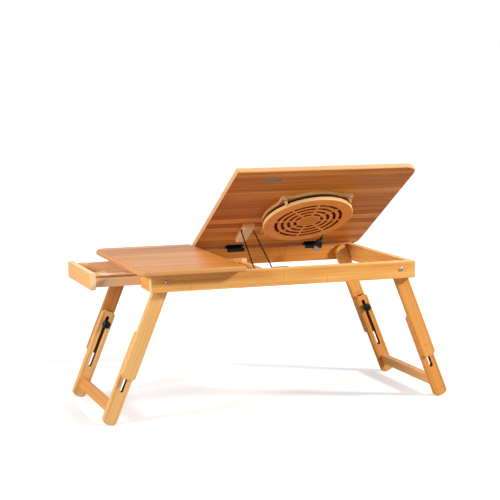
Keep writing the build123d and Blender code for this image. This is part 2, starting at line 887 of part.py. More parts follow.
drawer_bottom = drawer_bottom_panel()
keep(drawer_bottom, "drawer_bottom")

# Legs: an upper and a slotted lower one at each corner
tenon_width = stretcher_width - 2 * tenon_shoulder
tenon_thickness = stretcher_thickness - 2 * tenon_shoulder
stretcher_mid = stretcher_start + stretcher_width / 2
lower_mid, lower_length = span(lower_leg_start, leg_reach)
slot_mid, slot_length = span(leg_slot_start, leg_slot_end)
insert_length = leg_thickness - insert_skin
for side_name, side in SIDES.items():
    for row_name, row in ROWS.items():
        upper_low = row_start(row, upper_leg_y, leg_thickness)
        upper_inner = row * upper_leg_y
        with BuildPart() as upper_leg:
            with BuildSketch(leg_plane(side, upper_low)) as outline:
                with Locations((upper_leg_length / 2, 0)):
                    Rectangle(upper_leg_length, leg_width)
                chamfer(outline.vertices().group_by(Axis.X)[-1], leg_clip)
                Circle(leg_width / 2)
            extrude(amount=leg_thickness)
            fillet(upper_leg.faces().filter_by(Axis.Y).edges(), leg_round)
            with BuildSketch(leg_plane(side, upper_low)):
                Circle(pivot_radius + running_gap)
            extrude(amount=leg_thickness, mode=Mode.SUBTRACT)
            with BuildSketch(leg_plane(side, upper_inner)):
                with Locations((stud_reach, 0)):
                    Circle(insert_radius)
            extrude(amount=row * insert_length, mode=Mode.SUBTRACT)
        keep(upper_leg, f"{side_name}_{row_name}_upper_leg")

        lower_low = row_start(row, lower_leg_y, leg_thickness)
        with BuildPart() as lower_leg:
            with BuildSketch(leg_plane(side, lower_low)) as outline:
                with Locations((lower_mid, 0)):
                    Rectangle(lower_length, leg_width)
                chamfer(outline.vertices().group_by(Axis.X)[0], leg_clip)
                fillet(outline.vertices().group_by(Axis.X)[-1], foot_round)
            extrude(amount=leg_thickness)
            fillet(lower_leg.faces().filter_by(Axis.Y).edges(), leg_round)
            with BuildSketch(leg_plane(side, lower_low)):
                with Locations((slot_mid, 0)):
                    SlotOverall(slot_length, leg_slot_width)
            extrude(amount=leg_thickness, mode=Mode.SUBTRACT)
            with BuildSketch(leg_plane(side, row * lower_leg_y)):
                with Locations((stretcher_mid, 0)):
                    Rectangle(tenon_width, tenon_thickness)
            extrude(amount=row * tenon_length, mode=Mode.SUBTRACT)
        keep(lower_leg, f"{side_name}_{row_name}_lower_leg")

    with BuildPart() as stretcher:
        with BuildSketch(leg_plane(side, -lower_leg_y)):
            with Locations((stretcher_mid, 0)):
                Rectangle(stretcher_width, stretcher_thickness)
        extrude(amount=2 * lower_leg_y)
        fillet(stretcher.edges().filter_by(Axis.Y), leg_round)
        with BuildSketch(leg_plane(side, -lower_leg_y - tenon_length)):
            with Locations((stretcher_mid, 0)):
                Rectangle(tenon_width, tenon_thickness)
        extrude(amount=2 * (lower_leg_y + tenon_length))
    keep(stretcher, side_name + "_stretcher")

    # Threaded inserts, sunk in the upper legs' inner faces
    with BuildPart() as inserts:
        for row in ROWS.values():
            with BuildSketch(leg_plane(side, row * upper_leg_y)):
                with Locations((stud_reach, 0)):
                    Circle(insert_radius)
                    Circle(stud_radius + running_gap, mode=Mode.SUBTRACT)
            extrude(amount=row * insert_length)
    keep(inserts, side_name + "_leg_inserts")

# Clamping knobs with their studs, which run in the lower legs' slots
stud_length = stud_grip + knob_gap + leg_thickness + leg_gap + insert_length - stud_end_gap
for side_name, side in SIDES.items():
    for row_name, row in ROWS.items():
        knob_centre = leg_plane(side, row * (lower_leg_y - knob_gap)).from_local_coords(
            Vector(stud_reach, 0, 0)
        )
        knob_plane = Plane(
            origin=knob_centre,
            x_dir=(side * math.sin(splay_angle), 0, -math.cos(splay_angle)),
            z_dir=(0, -row, 0),
        )
        with BuildPart() as knob:
            with BuildSketch(knob_plane.offset(collar_height)):
                Circle(knob_radius)
                with PolarLocations(lobe_reach, lobe_count):
                    Circle(lobe_radius)
            extrude(amount=knob_height)
            chamfer(knob.faces().filter_by(Axis.Y).edges(), knob_bevel)
            with BuildSketch(knob_plane):
                Circle(collar_radius)
            extrude(amount=collar_height)
            with BuildSketch(knob_plane):
                Circle(stud_radius)
            extrude(amount=stud_grip, mode=Mode.SUBTRACT)
        keep(knob, f"{side_name}_{row_name}_knob")

        with BuildPart() as stud:
            with BuildSketch(knob_plane.offset(stud_grip)):
                Circle(stud_radius)
            extrude(amount=-stud_length)
        keep(stud, f"{side_name}_{row_name}_stud")

# Pivot bolts through rail and leg, with washers between them and nuts inside
with BuildPart() as pivot_bolts:
    for row in ROWS.values():
        tail = half_depth - upper_leg_y + nut_height + bolt_tail + running_gap
        with BuildSketch(Plane.XZ.offset(-row * half_depth)):
            with Locations((-pivot_x, pivot_z), (pivot_x, pivot_z)):
                Circle(bolt_head_radius)
        extrude(amount=-row * bolt_head_height, taper=bolt_head_taper)
        with BuildSketch(Plane.XZ.offset(-row * half_depth)):
            with Locations((-pivot_x, pivot_z), (pivot_x, pivot_z)):
                Circle(pivot_radius)
        extrude(amount=row * tail)
keep(pivot_bolts, "pivot_bolts")

with BuildPart() as pivot_washers:
    for row in ROWS.values():
        with BuildSketch(Plane.XZ.offset(-row * inner_depth)):
            with Locations((-pivot_x, pivot_z), (pivot_x, pivot_z)):
                Circle(washer_radius)
                Circle(pivot_radius, mode=Mode.SUBTRACT)
        extrude(amount=row * (leg_gap - running_gap))
keep(pivot_washers, "pivot_washers")

with BuildPart() as pivot_nuts:
    for row in ROWS.values():
        with BuildSketch(Plane.XZ.offset(-row * (upper_leg_y - running_gap))):
            with Locations((-pivot_x, pivot_z), (pivot_x, pivot_z)):
                RegularPolygon(nut_radius, 6)
                Circle(pivot_radius, mode=Mode.SUBTRACT)
        extrude(amount=row * nut_height)
keep(pivot_nuts, "pivot_nuts")

# The origin is the middle of the whole table's box at floor level
whole_box = pieces[0].bounding_box()
for piece in pieces:
    whole_box = whole_box.add(piece.bounding_box())
origin_shift = Vector(-whole_box.center().X, -whole_box.center().Y, 0)


def lead_gap(samples=720):
    """Least gap of the wound lead to itself, measured on points of its centre line."""
    points = [lead_path @ (index / samples) for index in range(samples + 1)]
    spacing = lead_path.length / samples
    apart = int(math.pi * lead_turn_radius / spacing)
    least = min(
        (points[first] - points[second]).length
        for first in range(len(points))
        for second in range(first + apart, len(points))
    )
    return least - 2 * lead_radius


os.makedirs("parts", exist_ok=True)
for piece in pieces:
    label = piece.label
    placed = piece.moved(Location(origin_shift))
    placed.label = label
    export_step(placed, f"parts/{label}.step")

print("pieces", len(pieces), "box", whole_box.size, "shift", origin_shift)
print("lead length", round(lead_path.length, 1), "least gap", round(lead_gap(), 2))
print("lead radii", lead_inlet_bend, round(lead_turn_radius, 1), lead_drop_bend)
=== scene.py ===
"""Finishes the folding bamboo laptop table: boards, fan, wound lead, knobs, screws and the studio."""
import json
import math

import bmesh
import bpy
from bpy.props import FloatProperty, FloatVectorProperty, IntProperty, PointerProperty
from mathutils import Matrix, Vector


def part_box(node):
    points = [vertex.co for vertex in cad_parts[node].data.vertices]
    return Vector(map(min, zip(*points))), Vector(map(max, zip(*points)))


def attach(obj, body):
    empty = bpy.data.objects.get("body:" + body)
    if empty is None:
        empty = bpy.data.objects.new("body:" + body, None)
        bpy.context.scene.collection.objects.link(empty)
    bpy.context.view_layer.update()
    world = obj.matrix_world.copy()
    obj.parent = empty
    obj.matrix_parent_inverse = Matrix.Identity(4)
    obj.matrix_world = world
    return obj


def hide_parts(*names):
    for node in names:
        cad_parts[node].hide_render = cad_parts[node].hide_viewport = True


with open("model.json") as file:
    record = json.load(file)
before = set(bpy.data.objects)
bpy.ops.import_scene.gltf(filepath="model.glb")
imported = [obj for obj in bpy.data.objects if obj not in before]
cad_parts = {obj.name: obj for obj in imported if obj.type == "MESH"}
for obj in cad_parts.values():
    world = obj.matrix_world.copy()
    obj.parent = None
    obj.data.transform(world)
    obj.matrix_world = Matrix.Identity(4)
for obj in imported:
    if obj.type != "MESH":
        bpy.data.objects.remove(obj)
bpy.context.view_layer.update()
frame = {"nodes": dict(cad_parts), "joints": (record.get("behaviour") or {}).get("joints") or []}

bl_info = {
    "name": "Folding bamboo laptop table",
    "version": (1, 0, 0),
    "blender": (4, 5, 0),
    "location": "View3D > Sidebar > Laptop table",
    "description": "Finishes a folding bamboo laptop table with a fan, its wound lead, knobs and screws",
    "category": "Object",
}

JOINTS = {joint["name"]: joint for joint in frame["joints"]}
ALONG = Vector((1, 0, 0))
INWARD = Vector((0, 1, 0))
UPWARD = Vector((0, 0, 1))
TOP_NORMAL = Vector(JOINTS["fan_spin"]["axis"])
UP_SLOPE = TOP_NORMAL.cross(ALONG)
HINGE = Vector(JOINTS["top_tilt"]["pos_m"])
FAN_CENTRE = Vector(JOINTS["fan_spin"]["pos_m"])
FAN_CENTRE -= (FAN_CENTRE - HINGE).dot(TOP_NORMAL) * TOP_NORMAL
SIDES = ("right", "left")
ROWS = ("rear", "front")
SMOOTH_ANGLE = math.radians(38)
MERGE_DISTANCE = 1e-6

# Bamboo: contrast between strips, strength of the streaks and strength of the nodes
LOOKS = {
    "rail": (0.4, 0.85, 0.5), "leg": (0.35, 0.85, 0.5), "drawer": (0.3, 0.6, 0.15),
    "tilting_top": (0.85, 0.8, 0.2), "fixed_top": (0.5, 0.6, 0.2), "laptop_stop": (0.4, 0.6, 0.2),
    "prop_block": (0.3, 0.6, 0.1),
}
# Shares of the fibres, streaks and clouds in the tone, which runs from 0, dark, to 1, light
FIBRES, STREAKS, CLOUDS = 1.1, 1.5, 0.9
# Widths, wander and spread are shares of a node's pitch or of a strip; strengths run from 0 to 1
NODE_WIDTH, NODE_DARKNESS, NODE_WANDER, NODE_SPREAD = 0.007, 0.72, 0.012, 7.0
HALO_WIDTH, HALO_STRENGTH = 0.05, 0.35
SEAM_WIDTH, SEAM_STRENGTH, SEAM_DARKNESS = 0.03, 0.5, 0.6
PORE_SIZE, PORE_STRENGTH, END_DARKNESS, EDGE_GRAIN = 0.45, 0.5, 0.25, 0.45
FIBRE_HEIGHT, SEAM_DEPTH, GLOSS_SWING = 0.5, 1.4, 0.22
# SLOT_STRENGTH: strength of the painted shade on the walls of the lower legs' slots, and the share of gloss
# these legs keep; GLUE_STRENGTH: strength of their glue lines
SLOT_STRENGTH, GLUE_STRENGTH = 0.8, 0.4
# Steps of the pattern from board to board: along the grain and in depth in metres, then in strips
RUN_STEP, DEPTH_STEP, STRIP_START, STRIPS_APART = 0.37, 0.11, 0.31, 3
# Added to a strip's number for its second random number
SHIFT_CHANCE = 71.3
# Turn of a surface at which a mask begins and is full, as the cosine against a direction
END_TURN, EDGE_TURN, SLOT_TURN, HOUSING_TURN = (0.7, 0.9), (0.6, 0.85), (0.4, 0.7), (0.35, 0.75)

# Plastic and metal: swing of the roughness, gloss, and factors that darken or lighten a colour
MOULDED_SWING, MOULDED_GLOSS, METAL_SWING = 0.12, 0.25, 0.16
METAL_DARKNESS, DARK_STEEL, FERRITE = 0.8, 0.12, 2
# Width over which the edge of the grille's disc fades
BADGE_FADE = 0.0004

# Rings of turned shapes: share of the height or length, scale against the ring before
SCREW_DOME = ((0.45, 1.0), (0.8, 0.88), (1.0, 0.72))
SHANK_END = ((0.96, 1.0), (1.0, 0.8))
KNOB_OUTLINE = (
    (0.05, 0.93), (0.14, 1.09), (0.25, 1.02), (0.68, 1.0), (0.84, 0.97), (0.94, 0.91), (1.0, 0.82),
    (1.0, 0.5), (0.95, 0.86),
)
TURNED_SEGMENTS, KNOB_SEGMENTS = 32, 72
KNOB_FOOT, COLLAR_LAP = 0.88, 1.02
# Cross recess: size against the head's radius, taper, and depth against the head's height
CROSS_SIZE, CROSS_TAPER, CROSS_DEPTH = 0.42, 0.6, 0.55
EAR_ANGLES = (45, 135, 225, 315)
HINGE_SCREW_SHARES = (0.15, 0.5, 0.85)

# Place and size of each softbox
LAMPS = {
    "overhead": ((0.1, -0.3, 2.3), 1.2), "left": ((2.3, 0.75, 1.1), 0.7),
    "right": ((-1.96, 1.2, 1.4), 0.4), "front": ((0.5, 2.4, 2.4), 1.6),
}
LAMP_AIM = Vector((0, 0, 0.25))
# Where the floor has turned white, against the shadow's reach
FADE_END = 3
WHITE = (1, 1, 1, 1)


def linear(code):
    """Linear colour of an sRGB code such as c98a4b."""
    shares = [int(code[start:start + 2], 16) / 255 for start in (0, 2, 4)]
    return tuple(c / 12.92 if c <= 0.04045 else ((c + 0.055) / 1.055) ** 2.4 for c in shares)


def colour(name, code, description):
    return FloatVectorProperty(
        name=name, description=description, subtype="COLOR", size=3, min=0, max=1, default=linear(code)
    )


def light(name, code, boards):
    return colour(name + ", light", code, "Light fibres of " + boards)


def dark(name, code, boards):
    return colour(name + ", dark", code, "Dark fibres of " + boards)


def length(name, default, description):
    return FloatProperty(name=name, description=description, default=default, unit="LENGTH", precision=5)


def level(name, default, description):
    return FloatProperty(name=name, description=description, default=default, min=0)


def angle(name, degrees, description):
    return FloatProperty(name=name, description=description, default=math.radians(degrees), subtype="ANGLE")


class BambooSettings(bpy.types.PropertyGroup):
    """Tones and grain of the bamboo boards."""

    rail_light: light("Rail", "fcc070", "the frame's rails")
    rail_dark: dark("Rail", "d88536", "the frame's rails")
    pale_leg_light: light("Drawer end leg", "fbd08e", "the legs at the drawer's end")
    pale_leg_dark: dark("Drawer end leg", "e9a65c", "the legs at the drawer's end")
    leg_light: light("Fan end leg", "f0ac5c", "the legs at the fan's end")
    leg_dark: dark("Fan end leg", "d6873a", "the legs at the fan's end")
    under_light: light("Tilting top", "ea9a48", "the tilting top")
    under_dark: dark("Tilting top", "ae5b1a", "the tilting top")
    top_light: light("Fixed top", "df9748", "the fixed top")
    top_dark: dark("Fixed top", "b06522", "the fixed top")
    drawer_light: light("Drawer", "ffdcb2", "the drawer's boards")
    drawer_dark: dark("Drawer", "f0b883", "the drawer's boards")
    drawer_front_light: light("Drawer front", "ffcb8c", "the drawer's front")
    drawer_front_dark: dark("Drawer front", "f2b066", "the drawer's front")
    block_light: light("Prop block", "f6cfa2", "the prop block")
    block_dark: dark("Prop block", "d9a575", "the prop block")
    edge: colour("Board edge", "e8be90", "Planed edges of the tilting top")
    # Painted highlight: the frame boards' top, bottom and end faces are made paler for the light on the
    # rails' top edges
    rail_edge_highlight: colour("Rail edge", "ffd79c", "Planed edges of the frame's rails")
    front_edge: colour("Drawer front's edge", "fcd8a8", "Planed edges of the drawer's front")
    bottom_light: light("Drawer bottom", "ffe9cc", "the drawer's bottom")
    bottom_dark: dark("Drawer bottom", "f6cc9c", "the drawer's bottom")
    # Darker tones of the rail at the hinges: painted shade for the tilting top's shadow, laid over the whole
    # board
    shade_painted_rail_light: light("Browner rail", "e89c4a", "the rail at the hinges")
    shade_painted_rail_dark: dark("Browner rail", "c4742c", "the rail at the hinges")
    # Darker tones of the upper leg behind the drawer: painted shade of the drawer's shadow
    shaded_light: light("Shaded leg", "dd9c58", "the browner leg behind the drawer")
    shaded_dark: dark("Shaded leg", "bd763a", "the browner leg behind the drawer")
    top_edge: colour("Fixed top's edge", "dfa063", "Planed edges of the fixed top")
    # Painted shade on the walls of the lower legs' slots; the same colour draws their glue lines
    slot_shade: colour("Slot walls", "6a3010", "Worn walls of the slots in the lower legs")
    slot_half: length("Slot half width", 0.0045, "Half the width in which a leg's walls count as its slot")
    seam_place: length("Seam place", 0.0088, "Distance of a lower leg's glue lines from its middle")
    seam_width: length("Seam width", 0.001, "Width over which a glue line fades")
    strip: length("Strip width", 0.0195, "Width of the strips that the tops are glued from")
    narrow_strip: length("Narrow strip width", 0.0165, "Width of the strips in rails and legs")
    node_pitch: length("Node pitch", 0.27, "Distance between two nodes of the bamboo in a strip")
    roughness: level("Roughness", 0.4, "Roughness of the satin lacquer")
    gloss: level("Gloss", 0.09, "Strength of the lacquer's reflection")
    top_gloss: level("Fixed top's gloss", 0.26, "Strength of the reflection of the fixed top")
    grain_depth: length("Grain depth", 0.0002, "Depth of the grain in the surface")


class FanSettings(bpy.types.PropertyGroup):
    """Finish of the fan's housing."""

    shell: colour("Housing", "f6983c", "Moulded plastic of the fan's housing")
    # Painted highlight: lighter side walls of the grille's rim and of the ears
    rim: colour("Rim", "ffdc9a", "Side wall of the grille and the ears")
    # Painted shade on the walls of the grille's slots
    slot_shade: colour("Slot walls", "b0451c", "Walls of the grille's slots")
    # Painted shade: darker wall inside the groove
    groove: colour("Groove", "6e3c1c", "Wall of the groove in which the lead is wound")
    badge: colour("Badge", "dc8614", "Disc in the middle of the grille")
    inside: colour("Rotor", "b8401c", "Plastic of the rotor behind the grille")
    gloss: level("Housing gloss", 0.1, "Strength of the reflection of the housing")
    badge_radius: length("Badge radius", 0.019, "Radius of the disc in the middle of the grille")
    slot_field: length("Slot field", 0.075, "Radius of the grille's field of slots")
    groove_radius: length("Groove radius", 0.0885, "Radius inside which the groove's wall lies")
    groove_top: length("Groove top", 0.0061, "Depth at which the groove begins under the tilting top")
    groove_bottom: length("Groove bottom", 0.0129, "Depth at which the groove ends under the tilting top")
    ear_hole_reach: length("Ear hole reach", 0.098, "Distance of the ears' screws from the fan's axis")
    ear_depth: length("Ear depth", 0.006, "Height of the ears under the tilting top")


class LeadSettings(bpy.types.PropertyGroup):
    """Route of the fan's lead, wound in the groove of its housing."""

    rubber: colour("Lead", "141414", "Sheath of the lead")
    diameter: length("Diameter", 0.0026, "Diameter of the lead")
    turn_radius: length("Turn radius", 0.0876, "Radius of the lead's middle line in the groove")
    wall_radius: length("Wall radius", 0.086, "Radius of the wall that the lead comes out of")
    start_depth: length("Start depth", 0.00745, "Depth of the first turn under the tilting top")
    pitch: length("Pitch", 0.0033, "Step of the lead along the fan's axis in one turn")
    inlet_angle: angle("Inlet angle", 126, "Where the lead comes out of the wall")
    exit_angle: angle("Exit angle", 558, "Where the lead leaves the groove, counted on past the inlet")
    free_run: length("Free run", 0.055, "Straight stretch between the groove and the hanging end")
    inlet_depth: length("Inlet depth", 0.005, "Depth of the lead's start in the wall")
    drop_bend: length("Drop bend", 0.01, "Radius of the bend above the plug")
    total: length("Length", 0.7327, "Real length of the lead from the wall to the plug")
    plug_lean: angle("Plug lean", 28, "Lean of the hanging plug from the vertical")
    steps: IntProperty(name="Points", description="Points of the route on its turns", default=20, min=12)


class HardwareSettings(bpy.types.PropertyGroup):
    """Sizes and finishes of the knobs, bolts and screws."""

    black: colour("Black parts", "121214", "Coating of the hinges and the wire bail")
    steel: colour("Plated parts", "b9b4ab", "Plated steel of the screws, bolts and plates")
    dull_steel: colour("Strike plate", "9b8c6e", "Dull plating of the strike plate")
    knob_colour: colour("Knobs", "0f0f10", "Moulded plastic of the knobs")
    knob_radius: length("Knob radius", 0.0085, "Mean radius of a knob's head")
    lobe_height: length("Lobe height", 0.0005, "How far the lobes rise from the mean radius")
    knob_height: length("Knob height", 0.012, "Height of a knob's head")
    collar_radius: length("Collar radius", 0.0055, "Radius of the collar under a knob")
    collar_height: length("Collar height", 0.004, "Height of the collar under a knob")
    knob_gap: length("Knob gap", 0.0002, "Air between a knob's collar and its leg")
    lobes: IntProperty(name="Lobes", description="Lobes of a knob", default=6, min=3)
    bolt_head: length("Bolt head radius", 0.0038, "Radius of a pivot bolt's head")
    bolt_rise: length("Bolt head height", 0.0024, "Height of a pivot bolt's head")
    # Painted shade in the cross recesses of the heads
    recess: colour("Recess", "1a1512", "Recesses in the heads of bolts and screws")
    bolt_length: length("Bolt length", 0.0325, "Length of a pivot bolt under its head")
    bolt_shank: length("Bolt shank radius", 0.003, "Radius of a pivot bolt's shank")
    ear_screw: length("Ear screw radius", 0.0034, "Radius of the screws in the fan's ears")
    ear_rise: length("Ear screw height", 0.0018, "Height of the heads in the fan's ears")
    strike_rise: length("Strike screw height", 0.0009, "Height of the heads in the strike plate")
    proud: length("Proud", 0.00012, "How far countersunk heads stand out")
    leaf_length: length("Leaf length", 0.038, "Length of a hinge's leaf")
    hinge_screw_reach: length("Hinge screw reach", 0.0095, "Distance of the hinges' screws from their pins")
    strike_screw: length("Strike screw radius", 0.00175, "Radius of the screws in the strike plate")
    strike_spread: length("Strike screw spread", 0.029, "Distance between the strike plate's screws")
    hinge_screw: length("Hinge screw radius", 0.0021, "Radius of the screws in the hinges' leaves")


class StageSettings(bpy.types.PropertyGroup):
    """Camera, lamps and floor."""

    camera_place: FloatVectorProperty(
        name="Camera place", description="Where the camera stands", subtype="TRANSLATION",
        default=(0.94666, 2.58889, 0.64948),
    )
    azimuth: angle("Azimuth", 160.1672, "Way round the table to the camera")
    elevation: angle("Elevation", 7.3748, "How far the camera looks down")
    roll: angle("Roll", -0.24395, "Turn of the camera about its own axis")
    lens: FloatProperty(name="Lens", description="Focal length in millimetres", default=102.128, min=1)
    floor_size: length("Floor size", 14, "Side of the floor")
    floor_shade: level("Floor shade", 0.6, "Reflectance of the floor")
    floor_glow: level("Floor glow", 0.55, "White that the camera sees on the floor beside the lamps' light")
    shadow_reach: length("Shadow reach", 0.55, "Distance up to which the floor shows the full shadow")
    sky: level("Sky", 0.03, "Strength of the even light from all round")
    overhead: level("Overhead lamp", 20, "Power of the softbox over the table")
    left: level("Left lamp", 46, "Power of the softbox at the camera's left")
    right: level("Right lamp", 66, "Power of the softbox at the camera's right")
    front: level("Front lamp", 3.5, "Power of the softbox over the camera")


class TableSettings(bpy.types.PropertyGroup):
    """All settings of the laptop table."""

    bamboo: PointerProperty(type=BambooSettings)
    fan: PointerProperty(type=FanSettings)
    lead: PointerProperty(type=LeadSettings)
    hardware: PointerProperty(type=HardwareSettings)
    stage: PointerProperty(type=StageSettings)


def settings():
    """The settings in use."""
    return bpy.context.scene.laptop_table


# Material helpers
def rgba(shade, factor=1.0):
    """Colour with its alpha, made lighter or darker by a factor."""
    return (*(min(1.0, c * factor) for c in shade[:3]), 1.0)


def connect(node, inputs):
    """Fill a node's inputs; each is (socket, number or colour or output socket)."""
    for socket, value in inputs:
        if isinstance(value, bpy.types.NodeSocket):
            node.id_data.links.new(value, node.inputs[socket])
        else:
            node.inputs[socket].default_value = value


def add_node(tree, kind, inputs=(), **values):
    """New shader node with its settings and inputs."""
    node = tree.nodes.new("ShaderNode" + kind)
    for name, value in values.items():
        setattr(node, name, value)
    connect(node, inputs)
    return node


def math_node(tree, operation, *values):
    return add_node(tree, "Math", enumerate(values), operation=operation).outputs[0]


def times(tree, value, *others):
    for other in others:
        value = math_node(tree, "MULTIPLY", value, other)
    return value


def plus(tree, value, *others):
    for other in others:
        value = math_node(tree, "ADD", value, other)
    return value


def minus(tree, value, other):
    return math_node(tree, "SUBTRACT", value, other)


def gap(tree, value, other):
    return math_node(tree, "ABSOLUTE", minus(tree, value, other))


def swing(tree, value, amount):
    """Distance of a pattern from its middle, 0.5, times an amount."""
    return times(tree, minus(tree, value, 0.5), amount)


def vector_node(tree, operation, *values):
    """Outputs of a step of vector arithmetic: 0 is a vector, Value a number."""
    return add_node(tree, "VectorMath", enumerate(values), operation=operation).outputs


def stretched(tree, vector, along, across):
    """Vector scaled along and across the grain."""
    return vector_node(tree, "MULTIPLY", vector, (along, across, across))[0]


def noise(tree, vector, detail, roughness=0.6, distortion=0.0):
    inputs = (
        ("Vector", vector), ("Scale", 1.0), ("Detail", detail), ("Roughness", roughness),
        ("Distortion", distortion),
    )
    return add_node(tree, "TexNoise", inputs).outputs[0]


def chance(tree, value):
    """A random number of its own for each value."""
    return add_node(tree, "TexWhiteNoise", (("W", value),), noise_dimensions="1D").outputs["Value"]


def smoothed(tree, value, low, high, at_low=0.0, at_high=1.0):
    """One number up to low and another from high on, with a smooth passage between them."""
    inputs = (
        ("Value", value), ("From Min", low), ("From Max", high), ("To Min", at_low), ("To Max", at_high),
    )
    return add_node(tree, "MapRange", inputs, interpolation_type="SMOOTHSTEP").outputs[0]


def smooth_below(tree, value, limit):
    """1 where the value is 0, falling smoothly to 0 at the limit."""
    return smoothed(tree, value, 0.0, limit, 1.0, 0.0)


def facing(tree, normal, direction, low, high):
    """1 on faces that look along a direction or against it, 0 on those beside it."""
    turned = vector_node(tree, "DOT_PRODUCT", normal, direction)["Value"]
    return smoothed(tree, math_node(tree, "ABSOLUTE", turned), low, high)


def mixed(tree, factor, first, second, blend="MIX"):
    inputs = ((0, factor), (6, first), (7, second))
    return add_node(tree, "Mix", inputs, data_type="RGBA", blend_type=blend).outputs[2]


def add_bump(tree, shader, height, distance, strength):
    inputs = (("Height", height), ("Distance", distance), ("Strength", strength))
    connect(shader, (("Normal", add_node(tree, "Bump", inputs).outputs[0]),))


def bamboo_group():
    """Node group of laminated bamboo: grain along X, strips side by side along Y."""
    tree = bpy.data.node_groups.new("bamboo_grain", "ShaderNodeTree")
    numbers = ("Strip", "Contrast", "Streak", "Node Pitch", "Node Strength", "Edge Mask", "End Mask")
    sockets = (
        ("INPUT", "Vector", ("Vector",)), ("INPUT", "Color", ("Light", "Dark", "Edge")),
        ("INPUT", "Float", numbers), ("OUTPUT", "Color", ("Color",)),
        ("OUTPUT", "Float", ("Gloss Change", "Height")),
    )
    for way, kind, names in sockets:
        for name in names:
            tree.interface.new_socket(name, in_out=way, socket_type="NodeSocket" + kind)
    given = tree.nodes.new("NodeGroupInput").outputs
    vector = given["Vector"]
    apart = add_node(tree, "SeparateXYZ", ((0, vector),)).outputs
    lane = math_node(tree, "DIVIDE", apart["Y"], given["Strip"])
    strip = math_node(tree, "FLOOR", lane)
    across = math_node(tree, "FRACT", lane)
    shift = chance(tree, plus(tree, strip, SHIFT_CHANCE))
    shifted = add_node(tree, "CombineXYZ", ((0, shift), (1, shift), (2, 0.0))).outputs[0]
    strip_vector = vector_node(tree, "ADD", vector, shifted)[0]

    # Tone: each strip's own, and the fibres, streaks and clouds in it
    fibre = noise(tree, stretched(tree, strip_vector, along=9, across=900), detail=4.0, roughness=0.65)
    streak = noise(tree, stretched(tree, strip_vector, along=3, across=190), 3.0, 0.55, distortion=0.4)
    cloud = noise(tree, stretched(tree, strip_vector, along=6, across=26), detail=2.0, roughness=0.5)
    grain = plus(tree, swing(tree, fibre, FIBRES), swing(tree, streak, STREAKS), swing(tree, cloud, CLOUDS))
    grain = times(tree, grain, given["Streak"])
    share = plus(tree, swing(tree, chance(tree, strip), given["Contrast"]), grain, 0.5)
    share = add_node(tree, "Clamp", ((0, share),)).outputs[0]
    wood = mixed(tree, share, given["Dark"], given["Light"])

    # Nodes: a dark line in a pale halo across each strip
    wander = times(tree, noise(tree, stretched(tree, vector, along=1, across=160), detail=1.0), NODE_WANDER)
    run = math_node(tree, "DIVIDE", apart["X"], given["Node Pitch"])
    run = plus(tree, run, wander, times(tree, shift, NODE_SPREAD))
    from_node = gap(tree, math_node(tree, "FRACT", run), 0.5)
    line = times(tree, smooth_below(tree, from_node, NODE_WIDTH), given["Node Strength"])
    halo = times(tree, smooth_below(tree, from_node, HALO_WIDTH), HALO_STRENGTH, given["Node Strength"])
    wood = mixed(tree, halo, wood, given["Light"])
    dark_line = mixed(tree, NODE_DARKNESS, wood, given["Dark"], "MULTIPLY")
    wood = mixed(tree, line, wood, dark_line)

    # Seams between the strips
    to_seam = math_node(tree, "MINIMUM", across, minus(tree, 1.0, across))
    seam = times(tree, smooth_below(tree, to_seam, SEAM_WIDTH), given["Contrast"], SEAM_STRENGTH)
    wood = mixed(tree, seam, wood, mixed(tree, SEAM_DARKNESS, wood, given["Dark"], "MULTIPLY"))

    # End grain, and the Edge colour on the faces of the Edge Mask: planed edges, and on the frame's boards a
    # painted highlight
    pore_vector = stretched(tree, vector, along=60, across=1400)
    pores = add_node(tree, "TexVoronoi", (("Vector", pore_vector), ("Scale", 1.0))).outputs[0]
    pore = times(tree, smooth_below(tree, pores, PORE_SIZE), PORE_STRENGTH)
    end = mixed(tree, END_DARKNESS, mixed(tree, pore, wood, given["Dark"]), given["Dark"])
    wood = mixed(tree, given["End Mask"], wood, end)
    edge = mixed(tree, times(tree, share, EDGE_GRAIN), given["Edge"], given["Light"])
    wood = mixed(tree, given["Edge Mask"], wood, edge)

    sunk = plus(tree, line, times(tree, seam, SEAM_DEPTH))
    height = minus(tree, times(tree, fibre, FIBRE_HEIGHT), sunk)
    change = swing(tree, fibre, GLOSS_SWING)
    outputs = (("Color", wood), ("Gloss Change", change), ("Height", height))
    connect(tree.nodes.new("NodeGroupOutput"), outputs)
    return tree


def cleared_tree(block):
    """Emptied shader tree of a material or a world."""
    block.use_nodes = True
    block.node_tree.nodes.clear()
    return block.node_tree


def new_material(name):
    """Empty material with a Principled shader on its output: material, tree, shader."""
    material = bpy.data.materials.new(name)
    tree = cleared_tree(material)
    shader = add_node(tree, "BsdfPrincipled")
    add_node(tree, "OutputMaterial", ((0, shader.outputs[0]),))
    return material, tree, shader


def dress(name, material):
    """Give a CAD node its material."""
    slots = frame["nodes"][name].data.materials
    slots.clear()
    slots.append(material)


def slotted(tree, shade, gloss, vector, broad, strip, slot):
    """Colour and gloss of a lower leg: painted shade and lower gloss on the walls of its slot, and its glue
    lines on the broad faces.
    """
    bamboo = settings().bamboo
    # One colour for the painted shade in the slot and for the glue lines
    wall = rgba(bamboo.slot_shade)
    from_middle = add_node(tree, "SeparateXYZ", ((0, vector),)).outputs["Y"]
    from_middle = gap(tree, from_middle, strip / 2)
    inside = math_node(tree, "LESS_THAN", from_middle, slot)
    # Painted shade and lower gloss on the slot's walls: faces within the slot's width that don't look through
    # the board
    painted_slot_mask = times(tree, inside, SLOT_STRENGTH, minus(tree, 1.0, broad))
    from_seam = gap(tree, from_middle, bamboo.seam_place)
    seam = times(tree, smooth_below(tree, from_seam, bamboo.seam_width), GLUE_STRENGTH, broad)
    shade = mixed(tree, seam, mixed(tree, painted_slot_mask, shade, wall), wall)
    return shade, times(tree, minus(tree, SLOT_STRENGTH, painted_slot_mask), gloss)


